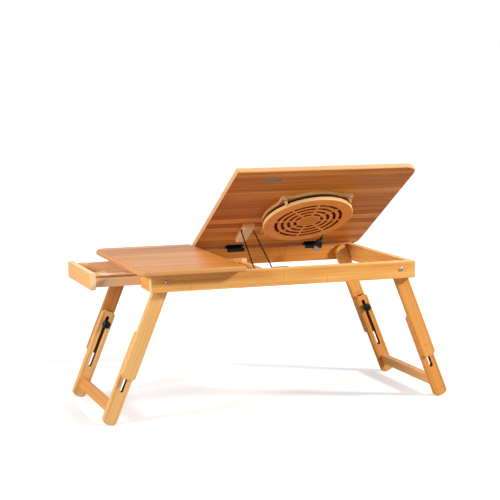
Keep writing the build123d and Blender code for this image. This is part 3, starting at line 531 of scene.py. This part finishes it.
def dress_board(name, tones, grain, across, strip, seed, look, edge=None, gloss=None, place=None, slot=0.0):
    """Dress a board in bamboo whose grain runs one way and whose strips lie side by side across it."""
    bamboo = settings().bamboo
    pale, deep = (getattr(bamboo, f"{tones}_{end}") for end in ("light", "dark"))
    gloss = gloss or bamboo.gloss
    contrast, streak, nodes = LOOKS[look]
    material, tree, shader = new_material(name + "_bamboo")
    through = grain.cross(across)
    coordinates = add_node(tree, "TexCoord").outputs
    normal = coordinates["Normal"]
    offset = Vector((RUN_STEP * seed, strip * (STRIP_START + STRIPS_APART * seed), DEPTH_STEP * seed))
    if place:
        offset.y = strip / 2 - across.dot(place)
    turn = Matrix((grain, across, through)).to_euler("XYZ")
    mapping = (("Vector", coordinates["Object"]), ("Location", offset), ("Rotation", turn))
    vector = add_node(tree, "Mapping", mapping).outputs[0]
    edge_mask = minus(tree, 1.0, facing(tree, normal, through, *EDGE_TURN)) if edge else 0.0
    end_mask = facing(tree, normal, grain, *END_TURN)
    inputs = (
        ("Vector", vector), ("Light", rgba(pale)), ("Dark", rgba(deep)), ("Edge", rgba(edge or pale)),
        ("Strip", strip), ("Contrast", contrast), ("Streak", streak), ("Node Pitch", bamboo.node_pitch),
        ("Node Strength", nodes), ("Edge Mask", edge_mask), ("End Mask", end_mask),
    )
    group = bpy.data.node_groups.get("bamboo_grain") or bamboo_group()
    wood = add_node(tree, "Group", inputs, node_tree=group).outputs
    shade = wood["Color"]
    if slot:
        broad = facing(tree, normal, through, *SLOT_TURN)
        shade, gloss = slotted(tree, shade, gloss, vector, broad, strip, slot)
    rough = plus(tree, wood["Gloss Change"], bamboo.roughness)
    connect(shader, (("Base Color", shade), ("Roughness", rough), ("Specular IOR Level", gloss)))
    add_bump(tree, shader, wood["Height"], bamboo.grain_depth, strength=0.6)
    dress(name, material)


def moulded_material(name, shade, roughness, mottle=0.06, grain_scale=1500, depth=0.00004):
    """Moulded plastic or rubber, mottled and finely grained: material, tree, shader, tint."""
    material, tree, shader = new_material(name)
    vector = add_node(tree, "TexCoord").outputs["Object"]
    cloud = noise(tree, stretched(tree, vector, along=45, across=45), detail=3.0)
    fine = noise(tree, stretched(tree, vector, grain_scale, grain_scale), detail=2.0)
    tint = mixed(tree, cloud, rgba(shade, 1 - 2 * mottle), rgba(shade, 1 + 2 * mottle))
    rough = plus(tree, roughness - MOULDED_SWING / 2, times(tree, cloud, MOULDED_SWING))
    connect(shader, (("Base Color", tint), ("Roughness", rough), ("Specular IOR Level", MOULDED_GLOSS)))
    add_bump(tree, shader, fine, depth, strength=0.5)
    return material, tree, shader, tint


def housing_material(name, fan, badged):
    """Plastic of the fan's housing: a painted highlight on the side walls of the rim and ears, painted shade
    on the slots' walls and in the groove, and a disc in the middle of the grille.
    """
    material, tree, shader, tint = moulded_material(name, fan.shell, roughness=0.42)
    coordinates = add_node(tree, "TexCoord").outputs
    from_centre = vector_node(tree, "SUBTRACT", coordinates["Object"], FAN_CENTRE)[0]
    depth = times(tree, vector_node(tree, "DOT_PRODUCT", from_centre, TOP_NORMAL)["Value"], -1.0)
    reach = vector_node(tree, "LENGTH", from_centre)["Value"]
    radius = math_node(tree, "SQRT", minus(tree, times(tree, reach, reach), times(tree, depth, depth)))
    # Side walls of the housing: painted highlight on the rim and ears outside the slot field, painted shade
    # on the slots' walls inside it
    outer = math_node(tree, "GREATER_THAN", radius, fan.slot_field)
    walls = mixed(tree, outer, rgba(fan.slot_shade), rgba(fan.rim))
    shade = mixed(tree, facing(tree, coordinates["Normal"], TOP_NORMAL, *HOUSING_TURN), walls, tint)
    # Painted shade on the groove's wall
    groove_shade_mask = times(
        tree, math_node(tree, "GREATER_THAN", depth, fan.groove_top),
        math_node(tree, "LESS_THAN", depth, fan.groove_bottom),
        math_node(tree, "LESS_THAN", radius, fan.groove_radius),
    )
    shade = mixed(tree, groove_shade_mask, shade, rgba(fan.groove))
    if badged:
        beyond = minus(tree, radius, fan.badge_radius - BADGE_FADE / 2)
        shade = mixed(tree, smooth_below(tree, beyond, BADGE_FADE), shade, rgba(fan.badge))
    connect(shader, (("Base Color", shade), ("Specular IOR Level", fan.gloss)))
    return material


def metal_material(name, shade, roughness):
    """Plated steel with fine brushing."""
    material, tree, shader = new_material(name)
    vector = add_node(tree, "TexCoord").outputs["Object"]
    brushed = noise(tree, stretched(tree, vector, along=30, across=2600), detail=3.0)
    cloud = noise(tree, stretched(tree, vector, along=120, across=120), detail=2.0)
    tint = mixed(tree, cloud, rgba(shade, METAL_DARKNESS), rgba(shade))
    rough = plus(tree, roughness - METAL_SWING / 2, times(tree, brushed, METAL_SWING))
    connect(shader, (("Base Color", tint), ("Roughness", rough), ("Metallic", 1.0)))
    add_bump(tree, shader, brushed, distance=0.00002, strength=0.4)
    return material


def shared_material(name):
    """A material of the hardware, made once and then used again."""
    made = bpy.data.materials.get(name)
    if made:
        return made
    hardware = settings().hardware
    # Colour and roughness
    metals = {
        "plated_steel": (hardware.steel, 0.3), "dull_steel": (hardware.dull_steel, 0.42),
        "dark_steel": (rgba(hardware.steel, DARK_STEEL), 0.38),
    }
    if name in metals:
        return metal_material(name, *metals[name])
    # Colour, roughness, mottle, fineness of the grain and its depth
    moulded = {
        "black_coating": (hardware.black, 0.42, 0.2, 2200, 0.00003),
        "knob_plastic": (hardware.knob_colour, 0.33, 0.2, 1800, 0.00003),
        "lead_rubber_sheath": (settings().lead.rubber, 0.5, 0.2, 2600, 0.00003),
        "rotor_plastic": (settings().fan.inside, 0.45),
        "recess_shade": (hardware.recess, 0.6, 0.2),
        "ferrite": (rgba(hardware.black, FERRITE), 0.6, 0.2),
    }
    return moulded_material(name, *moulded[name])[0]


# Mesh helpers
def place_object(name, data):
    """New object in the scene, holding a mesh, a curve, a lamp or a camera."""
    made = bpy.data.objects.new(name, data)
    bpy.context.scene.collection.objects.link(made)
    return made


def mesh_from(bm, name):
    """Mesh made from a bmesh that isn't needed any more."""
    mesh = bpy.data.meshes.new(name)
    bm.to_mesh(mesh)
    bm.free()
    return mesh


def finish_piece(bm, name, body, materials, stands_for=()):
    """Turn a bmesh into a piece of the table that rides on a body."""
    bmesh.ops.remove_doubles(bm, verts=bm.verts, dist=MERGE_DISTANCE)
    bmesh.ops.recalc_face_normals(bm, faces=bm.faces)
    mesh = mesh_from(bm, name)
    for polygon in mesh.polygons:
        polygon.use_smooth = True
    mesh.set_sharp_from_angle(angle=SMOOTH_ANGLE)
    for material in materials:
        mesh.materials.append(material)
    piece = place_object(name, mesh)
    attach(piece, body)
    if stands_for:
        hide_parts(*stands_for)


def facing_matrix(place, axis):
    """Matrix that stands local Z along an axis at a place."""
    return Matrix.Translation(place) @ axis.to_track_quat("Z", "Y").to_matrix().to_4x4()


def raise_face(bm, face, height, scale):
    """Extrude a flat face to a local height and scale it about the local Z axis; returns the new face."""
    made = bmesh.ops.extrude_face_region(bm, geom=[face])["geom"]
    verts = [item for item in made if isinstance(item, bmesh.types.BMVert)]
    for vert in verts:
        vert.co.z = height
    bmesh.ops.scale(bm, vec=(scale, scale, 1), verts=verts)
    bm.faces.remove(face)
    return next(item for item in made if isinstance(item, bmesh.types.BMFace))


def add_turned(bm, radius, steps):
    """Closed stack of rings; steps are (height, scale against the ring before). Returns its last face."""
    verts = bmesh.ops.create_circle(bm, cap_ends=True, radius=radius, segments=TURNED_SEGMENTS)["verts"]
    face = verts[0].link_faces[0]
    bmesh.ops.duplicate(bm, geom=[face])
    for height, scale in steps:
        face = raise_face(bm, face, height, scale)
    return face


def add_screw(bm, place, axis, radius, height, shank=0.0, shank_length=0.0):
    """Domed screw head with a cross recess of the second material, and a shank under it if one shows."""
    made = bmesh.new()
    face = add_turned(made, radius, [(height * share, scale) for share, scale in SCREW_DOME])
    rim = list(face.edges)
    made.faces.remove(face)
    cross_size = radius * CROSS_SIZE
    cross = bmesh.ops.create_grid(made, x_segments=3, y_segments=3, size=cross_size)["verts"]
    for vert in cross:
        vert.co.z = height
    cross_faces = {face for vert in cross for face in vert.link_faces}
    corners = [f for f in cross_faces if min(abs(c) for c in f.calc_center_median().xy) > cross_size / 2]
    bmesh.ops.delete(made, geom=corners, context="FACES")
    kept = [face for face in cross_faces if face.is_valid]
    outline = [edge for edge in {e for f in kept for e in f.edges} if len(edge.link_faces) == 1]
    bmesh.ops.bridge_loops(made, edges=rim + outline)
    sunk = bmesh.ops.extrude_face_region(made, geom=kept)["geom"]
    sunk_verts = [item for item in sunk if isinstance(item, bmesh.types.BMVert)]
    # Faces of the recess take the second material, painted shade
    for face in {face for vert in sunk_verts for face in vert.link_faces}:
        face.material_index = 1
    bmesh.ops.delete(made, geom=[face for face in kept if face.is_valid], context="FACES_ONLY")
    bmesh.ops.scale(made, vec=(CROSS_TAPER, CROSS_TAPER, 1), verts=sunk_verts)
    bmesh.ops.translate(made, vec=(0, 0, -height * CROSS_DEPTH), verts=sunk_verts)
    if shank:
        add_turned(made, shank, [(-shank_length * share, scale) for share, scale in SHANK_END])
    bmesh.ops.transform(made, matrix=facing_matrix(place, axis), verts=made.verts)
    carrier = mesh_from(made, "carrier")
    bm.from_mesh(carrier)
    bpy.data.meshes.remove(carrier)


def make_screws(name, body, finish, screws, stands_for=()):
    """Make one piece of several screws, each given as add_screw takes it."""
    bm = bmesh.new()
    for screw in screws:
        add_screw(bm, *screw)
    materials = [shared_material(finish), shared_material("recess_shade")]
    finish_piece(bm, name, body, materials, stands_for)


def on_fan(radius, turn, depth):
    """Point at a radius, a turn and a depth under the tilting top, about the fan's axis."""
    flat = ALONG * (radius * math.cos(turn)) + UP_SLOPE * (radius * math.sin(turn))
    return FAN_CENTRE + flat - TOP_NORMAL * depth


class TableOperator:
    """What all steps of the table share."""

    bl_options = {"REGISTER", "UNDO"}


class LAPTOPTABLE_OT_frame_boards(TableOperator, bpy.types.Operator):
    """Finish the bamboo of the frame"""

    bl_idname = "laptoptable.frame_boards"
    bl_label = "Frame boards"

    def execute(self, context):
        bamboo = settings().bamboo
        boards = {
            "rear_rail": ALONG, "front_rail": ALONG, "left_end_rail": INWARD, "right_end_board_rear": INWARD,
            "right_end_board_front": INWARD, "bay_board_rear": ALONG, "bay_board_front": ALONG,
            "bay_divider": INWARD, "drawer_runner_rear": ALONG, "drawer_runner_front": ALONG,
            "prop_rest": INWARD,
        }
        for seed, (name, grain) in enumerate(boards.items()):
            # The rail at the hinges takes darker tones: painted shade
            tones = "shade_painted_rail" if name == "front_rail" else "rail"
            # The rail edge colour on each board's top, bottom and end faces is a painted highlight
            dress_board(name, tones, grain, UPWARD, bamboo.narrow_strip, seed, "rail", bamboo.rail_edge_highlight)
        return {"FINISHED"}


class LAPTOPTABLE_OT_tops(TableOperator, bpy.types.Operator):
    """Finish the two tops, the laptop stop and the prop block"""

    bl_idname = "laptoptable.tops"
    bl_label = "Tops"

    def execute(self, context):
        bamboo = settings().bamboo
        boards = (
            ("tilting_top", "under", ALONG, UP_SLOPE, 4, bamboo.edge, None),
            ("fixed_top", "top", ALONG, INWARD, 9, bamboo.top_edge, bamboo.top_gloss),
            ("laptop_stop", "under", ALONG, UP_SLOPE, 3, None, None),
            ("prop_block", "block", UP_SLOPE, ALONG, 2, None, None),
        )
        for name, tones, grain, across, seed, edge, gloss in boards:
            dress_board(name, tones, grain, across, bamboo.strip, seed, name, edge, gloss)
        return {"FINISHED"}


class LAPTOPTABLE_OT_drawer(TableOperator, bpy.types.Operator):
    """Finish the drawer's boards"""

    bl_idname = "laptoptable.drawer"
    bl_label = "Drawer"

    def execute(self, context):
        bamboo = settings().bamboo
        boards = (
            ("drawer_front", "drawer_front", INWARD, UPWARD, bamboo.front_edge),
            ("drawer_side_rear", "drawer", ALONG, UPWARD, None),
            ("drawer_side_front", "drawer", ALONG, UPWARD, None),
            ("drawer_back", "drawer", INWARD, UPWARD, None),
            ("drawer_bottom", "bottom", ALONG, INWARD, None),
        )
        for seed, (name, tones, grain, across, edge) in enumerate(boards, start=5):
            dress_board(name, tones, grain, across, bamboo.strip, seed, "drawer", edge)
        return {"FINISHED"}


class LAPTOPTABLE_OT_legs(TableOperator, bpy.types.Operator):
    """Finish the legs and their stretchers"""

    bl_idname = "laptoptable.legs"
    bl_label = "Legs"

    def execute(self, context):
        bamboo = settings().bamboo
        strip = bamboo.narrow_strip
        tones = {"right": "pale_leg", "left": "leg"}
        # Tones of single boards: the darker upper leg behind the drawer is painted shade, the paler left
        # stretcher is painted light; the right stretcher takes the fan end's tones
        own = {"right_front_upper_leg": "shaded", "right_stretcher": "leg", "left_stretcher": "drawer_front"}
        seed = 1
        for side in SIDES:
            up_leg = Vector(JOINTS[side + "_legs_height"]["axis"])
            pivot = Vector(JOINTS[side + "_legs_fold"]["pos_m"])
            wide = up_leg.cross(INWARD)
            names = [f"{side}_{row}_{part}_leg" for row in ROWS for part in ("upper", "lower")]
            boards = [(name, up_leg, wide, pivot) for name in names]
            boards.append((side + "_stretcher", INWARD, up_leg, None))
            for name, grain, across, place in boards:
                # Lower legs get painted shade on the walls of their slots
                slot = bamboo.slot_half if "lower" in name else 0.0
                pair = own.get(name, tones[side])
                dress_board(name, pair, grain, across, strip, seed, "leg", place=place, slot=slot)
                seed += 1
        return {"FINISHED"}


class LAPTOPTABLE_OT_fan_housing(TableOperator, bpy.types.Operator):
    """Finish the fan's housing, grille, motor and rotor"""

    bl_idname = "laptoptable.fan_housing"
    bl_label = "Fan housing"

    def execute(self, context):
        fan = settings().fan
        for name in ("fan_base", "fan_grille"):
            dress(name, housing_material(name + "_plastic", fan, name == "fan_grille"))
        for name in ("fan_rotor", "fan_motor"):
            dress(name, shared_material("rotor_plastic"))
        return {"FINISHED"}


class LAPTOPTABLE_OT_lead(TableOperator, bpy.types.Operator):
    """Wind the fan's lead in its groove and finish its plug"""

    bl_idname = "laptoptable.lead"
    bl_label = "Fan lead"

    def execute(self, context):
        lead = settings().lead
        down = Vector((math.sin(lead.plug_lean), 0, -math.cos(lead.plug_lean)))
        turned = lead.exit_angle - lead.inlet_angle
        step = turned / lead.steps
        inlet = (
            lead.wall_radius - lead.inlet_depth, lead.wall_radius - lead.diameter / 2,
            lead.turn_radius - lead.diameter / 6,
        )
        points = [on_fan(radius, lead.inlet_angle, lead.start_depth) for radius in inlet]
        # A quadratic spline touches the middles of its legs, so the points stand outside the turn
        point_radius = lead.turn_radius / math.cos(step / 2)
        for index in range(lead.steps):
            swept = step * (index + 0.5)
            depth = lead.start_depth + lead.pitch * swept / math.tau
            points.append(on_fan(point_radius, lead.inlet_angle + swept, depth))
        last_depth = lead.start_depth + lead.pitch * turned / math.tau
        leave = on_fan(lead.turn_radius, lead.exit_angle, last_depth)
        tangent = UP_SLOPE * math.cos(lead.exit_angle) - ALONG * math.sin(lead.exit_angle)
        bend = lead.drop_bend * math.tan(tangent.angle(down) / 2)
        corner = leave + tangent * (lead.free_run + bend)
        points += [
            leave + tangent * (lead.turn_radius * math.tan(step / 2)),
            leave + tangent * (lead.free_run / 2),
            corner - tangent * (2 * bend),
            corner,
            corner + down * (bend + lead.diameter),
        ]
        curve = bpy.data.curves.new("fan_lead_cable", "CURVE")
        curve.dimensions = "3D"
        curve.bevel_depth = lead.diameter / 2
        curve.bevel_resolution = 4
        curve.use_fill_caps = True
        curve.resolution_u = 12
        spline = curve.splines.new("NURBS")
        spline.points.add(len(points) - 1)
        for point, place in zip(spline.points, points):
            point.co = (*place, 1)
        spline.order_u = 3
        spline.use_endpoint_u = True
        curve.materials.append(shared_material("lead_rubber_sheath"))
        cable = place_object("fan_lead_cable", curve)
        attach(cable, "top")
        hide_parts("fan_lead")
        dress("usb_grip", shared_material("knob_plastic"))
        dress("usb_shell", shared_material("plated_steel"))
        return {"FINISHED"}


class LAPTOPTABLE_OT_knobs(TableOperator, bpy.types.Operator):
    """Make the clamping knobs of the legs"""

    bl_idname = "laptoptable.knobs"
    bl_label = "Clamping knobs"

    def execute(self, context):
        hardware = settings().hardware
        radius, collar = hardware.knob_radius, hardware.collar_height
        for knob in [f"{side}_{row}" for side in SIDES for row in ROWS]:
            bm = bmesh.new()
            verts = bmesh.ops.create_circle(bm, cap_ends=True, radius=radius, segments=KNOB_SEGMENTS)["verts"]
            for vert in verts:
                turn = math.atan2(vert.co.y, vert.co.x)
                vert.co *= 1 + hardware.lobe_height / radius * math.cos(hardware.lobes * turn)
            face = verts[0].link_faces[0]
            bmesh.ops.scale(bm, vec=(KNOB_FOOT, KNOB_FOOT, 1), verts=verts)
            bmesh.ops.duplicate(bm, geom=[face])
            for share, scale in KNOB_OUTLINE:
                face = raise_face(bm, face, share * hardware.knob_height, scale)
            bmesh.ops.translate(bm, vec=(0, 0, collar), verts=bm.verts)
            add_turned(bm, hardware.collar_radius, ((collar * COLLAR_LAP, 1.0),))
            joint = JOINTS[knob + "_knob_turn"]
            axis = Vector(joint["axis"])
            place = Vector(joint["pos_m"]) + axis * hardware.knob_gap
            bmesh.ops.transform(bm, matrix=facing_matrix(place, axis), verts=bm.verts)
            plastic = [shared_material("knob_plastic")]
            finish_piece(bm, knob + "_star_knob", knob + "_clamp", plastic, [knob + "_knob"])
            dress(knob + "_stud", shared_material("dark_steel"))
        return {"FINISHED"}


class LAPTOPTABLE_OT_steel_parts(TableOperator, bpy.types.Operator):
    """Finish the hinges, the bail, the catch and the nuts"""

    bl_idname = "laptoptable.steel_parts"
    bl_label = "Steel parts"

    def execute(self, context):
        finishes = {
            "black_coating": ("hinge_frame_leaves", "hinge_top_leaves", "hinge_pins", "prop_bail"),
            "plated_steel": ("pivot_nuts", "pivot_washers", "right_leg_inserts", "left_leg_inserts"),
            "dull_steel": ("strike_plate",),
            "rotor_plastic": ("catch_case",),
            "ferrite": ("catch_magnet",),
        }
        for finish, names in finishes.items():
            for name in names:
                dress(name, shared_material(finish))
        return {"FINISHED"}


class LAPTOPTABLE_OT_screws(TableOperator, bpy.types.Operator):
    """Make the pivot bolts and the screws of the fan, the strike plate and the hinges"""

    bl_idname = "laptoptable.screws"
    bl_label = "Bolts and screws"

    def execute(self, context):
        hardware, fan = settings().hardware, settings().fan
        proud = hardware.proud
        low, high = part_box("pivot_bolts")
        bolts = []
        for side in SIDES:
            pivot = Vector(JOINTS[side + "_legs_fold"]["pos_m"])
            for direction, outer_y in ((1, high.y), (-1, low.y)):
                head_foot = Vector((pivot.x, outer_y - direction * hardware.bolt_rise, pivot.z))
                head = (head_foot, INWARD * direction, hardware.bolt_head, hardware.bolt_rise)
                bolts.append((*head, hardware.bolt_shank, hardware.bolt_length))
        make_screws("pivot_bolt_set", "frame", "plated_steel", bolts, ["pivot_bolts"])

        ears = [on_fan(fan.ear_hole_reach, math.radians(turn), fan.ear_depth) for turn in EAR_ANGLES]
        ears = [(place, -TOP_NORMAL, hardware.ear_screw, hardware.ear_rise) for place in ears]
        make_screws("fan_ear_screws", "top", "plated_steel", ears)

        low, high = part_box("strike_plate")
        plate = (low + high) / 2
        plate -= (plate - HINGE).dot(TOP_NORMAL) * TOP_NORMAL
        foot_depth = hardware.strike_rise - proud
        strike = []
        for sign in (1, -1):
            place = plate + ALONG * (sign * hardware.strike_spread / 2) + TOP_NORMAL * foot_depth
            strike.append((place, -TOP_NORMAL, hardware.strike_screw, hardware.strike_rise))
        make_screws("strike_plate_screws", "top", "dark_steel", strike)

        low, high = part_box("hinge_top_leaves")
        hinge = []
        for start in (low.x, high.x - hardware.leaf_length):
            for share in HINGE_SCREW_SHARES:
                place = HINGE + UP_SLOPE * hardware.hinge_screw_reach + TOP_NORMAL * proud
                place.x = start + hardware.leaf_length * share
                hinge.append((place, -TOP_NORMAL, hardware.hinge_screw, 2 * proud))
        make_screws("hinge_screws", "top", "black_coating", hinge)
        return {"FINISHED"}


class LAPTOPTABLE_OT_stage(TableOperator, bpy.types.Operator):
    """Set up the floor, the lamps, the white surroundings and the camera"""

    bl_idname = "laptoptable.stage"
    bl_label = "Stage"

    def execute(self, context):
        stage = settings().stage
        scene = bpy.context.scene
        scene.view_settings.view_transform = "Standard"
        floor_mesh = bmesh.new()
        bmesh.ops.create_grid(floor_mesh, x_segments=1, y_segments=1, size=stage.floor_size / 2)
        mesh = mesh_from(floor_mesh, "studio_floor")
        mesh.materials.append(floor_material(stage))
        floor = place_object("studio_floor", mesh)
        scene.world = white_world(stage)

        for name, (place, size) in LAMPS.items():
            lamp = bpy.data.lights.new(name + "_softbox", "AREA")
            lamp.shape = "DISK"
            lamp.size = size
            lamp.energy = getattr(stage, name)
            holder = place_object(name + "_softbox", lamp)
            holder.location = place
            holder.rotation_euler = (LAMP_AIM - Vector(place)).to_track_quat("-Z", "Y").to_euler()

        camera = bpy.data.cameras.new("photo_camera")
        camera.sensor_width = 36
        camera.lens = stage.lens
        camera.clip_end = 100
        holder = place_object("photo_camera", camera)
        back = Vector((
            math.sin(stage.azimuth) * math.cos(stage.elevation),
            -math.cos(stage.azimuth) * math.cos(stage.elevation),
            math.sin(stage.elevation),
        ))
        aim = (-back).to_track_quat("-Z", "Y").to_matrix().to_4x4()
        roll = Matrix.Rotation(stage.roll, 4, "Z")
        holder.matrix_world = Matrix.Translation(stage.camera_place) @ aim @ roll
        scene.camera = holder
        return {"FINISHED"}


def floor_material(stage):
    """White floor that keeps the table's shadow and turns into the white surroundings further out."""
    material = bpy.data.materials.new("studio_floor_white")
    tree = cleared_tree(material)
    matt = add_node(tree, "BsdfDiffuse", (("Color", (stage.floor_shade,) * 3 + (1.0,)),))
    reach = vector_node(tree, "LENGTH", add_node(tree, "TexCoord").outputs["Object"])["Value"]
    glow = smoothed(tree, reach, stage.shadow_reach, FADE_END * stage.shadow_reach, stage.floor_glow, 1.0)
    glow = times(tree, glow, add_node(tree, "LightPath").outputs["Is Camera Ray"])
    white = add_node(tree, "Emission", (("Color", WHITE), ("Strength", glow)))
    both = add_node(tree, "AddShader", ((0, matt.outputs[0]), (1, white.outputs[0])))
    add_node(tree, "OutputMaterial", ((0, both.outputs[0]),))
    return material


def white_world(stage):
    """Even light, seen as plain white by the camera and in gloss."""
    world = bpy.data.worlds.new("studio_white")
    tree = cleared_tree(world)
    even = add_node(tree, "Background", (("Color", WHITE), ("Strength", stage.sky)))
    shown = add_node(tree, "Background", (("Color", WHITE), ("Strength", 1.0)))
    rays = add_node(tree, "LightPath").outputs
    seen = math_node(tree, "MAXIMUM", rays["Is Camera Ray"], rays["Is Glossy Ray"])
    both = add_node(tree, "MixShader", ((0, seen), (1, even.outputs[0]), (2, shown.outputs[0])))
    add_node(tree, "OutputWorld", ((0, both.outputs[0]),))
    return world


STEPS = (
    LAPTOPTABLE_OT_stage, LAPTOPTABLE_OT_lead, LAPTOPTABLE_OT_frame_boards, LAPTOPTABLE_OT_tops,
    LAPTOPTABLE_OT_drawer, LAPTOPTABLE_OT_legs, LAPTOPTABLE_OT_fan_housing, LAPTOPTABLE_OT_knobs,
    LAPTOPTABLE_OT_steel_parts, LAPTOPTABLE_OT_screws,
)


class LAPTOPTABLE_PT_panel(bpy.types.Panel):
    """Steps and settings of the laptop table"""

    bl_idname = "LAPTOPTABLE_PT_panel"
    bl_label = "Laptop table"
    bl_space_type = "VIEW_3D"
    bl_region_type = "UI"
    bl_category = "Laptop table"

    def draw(self, context):
        layout = self.layout
        for step in STEPS:
            layout.operator(step.bl_idname)
        groups = context.scene.laptop_table
        for group in (groups.bamboo, groups.fan, groups.lead, groups.hardware, groups.stage):
            box = layout.box()
            for name in group.__annotations__:
                box.prop(group, name)


CLASSES = (
    BambooSettings, FanSettings, LeadSettings, HardwareSettings, StageSettings, TableSettings, *STEPS,
    LAPTOPTABLE_PT_panel,
)


def register():
    for each in CLASSES:
        bpy.utils.register_class(each)
    bpy.types.Scene.laptop_table = PointerProperty(type=TableSettings)


def unregister():
    del bpy.types.Scene.laptop_table
    for each in reversed(CLASSES):
        bpy.utils.unregister_class(each)


def main():
    register()
    for step in STEPS:
        group, name = step.bl_idname.split(".")
        getattr(getattr(bpy.ops, group), name)()


if __name__ == "__main__":
    main()
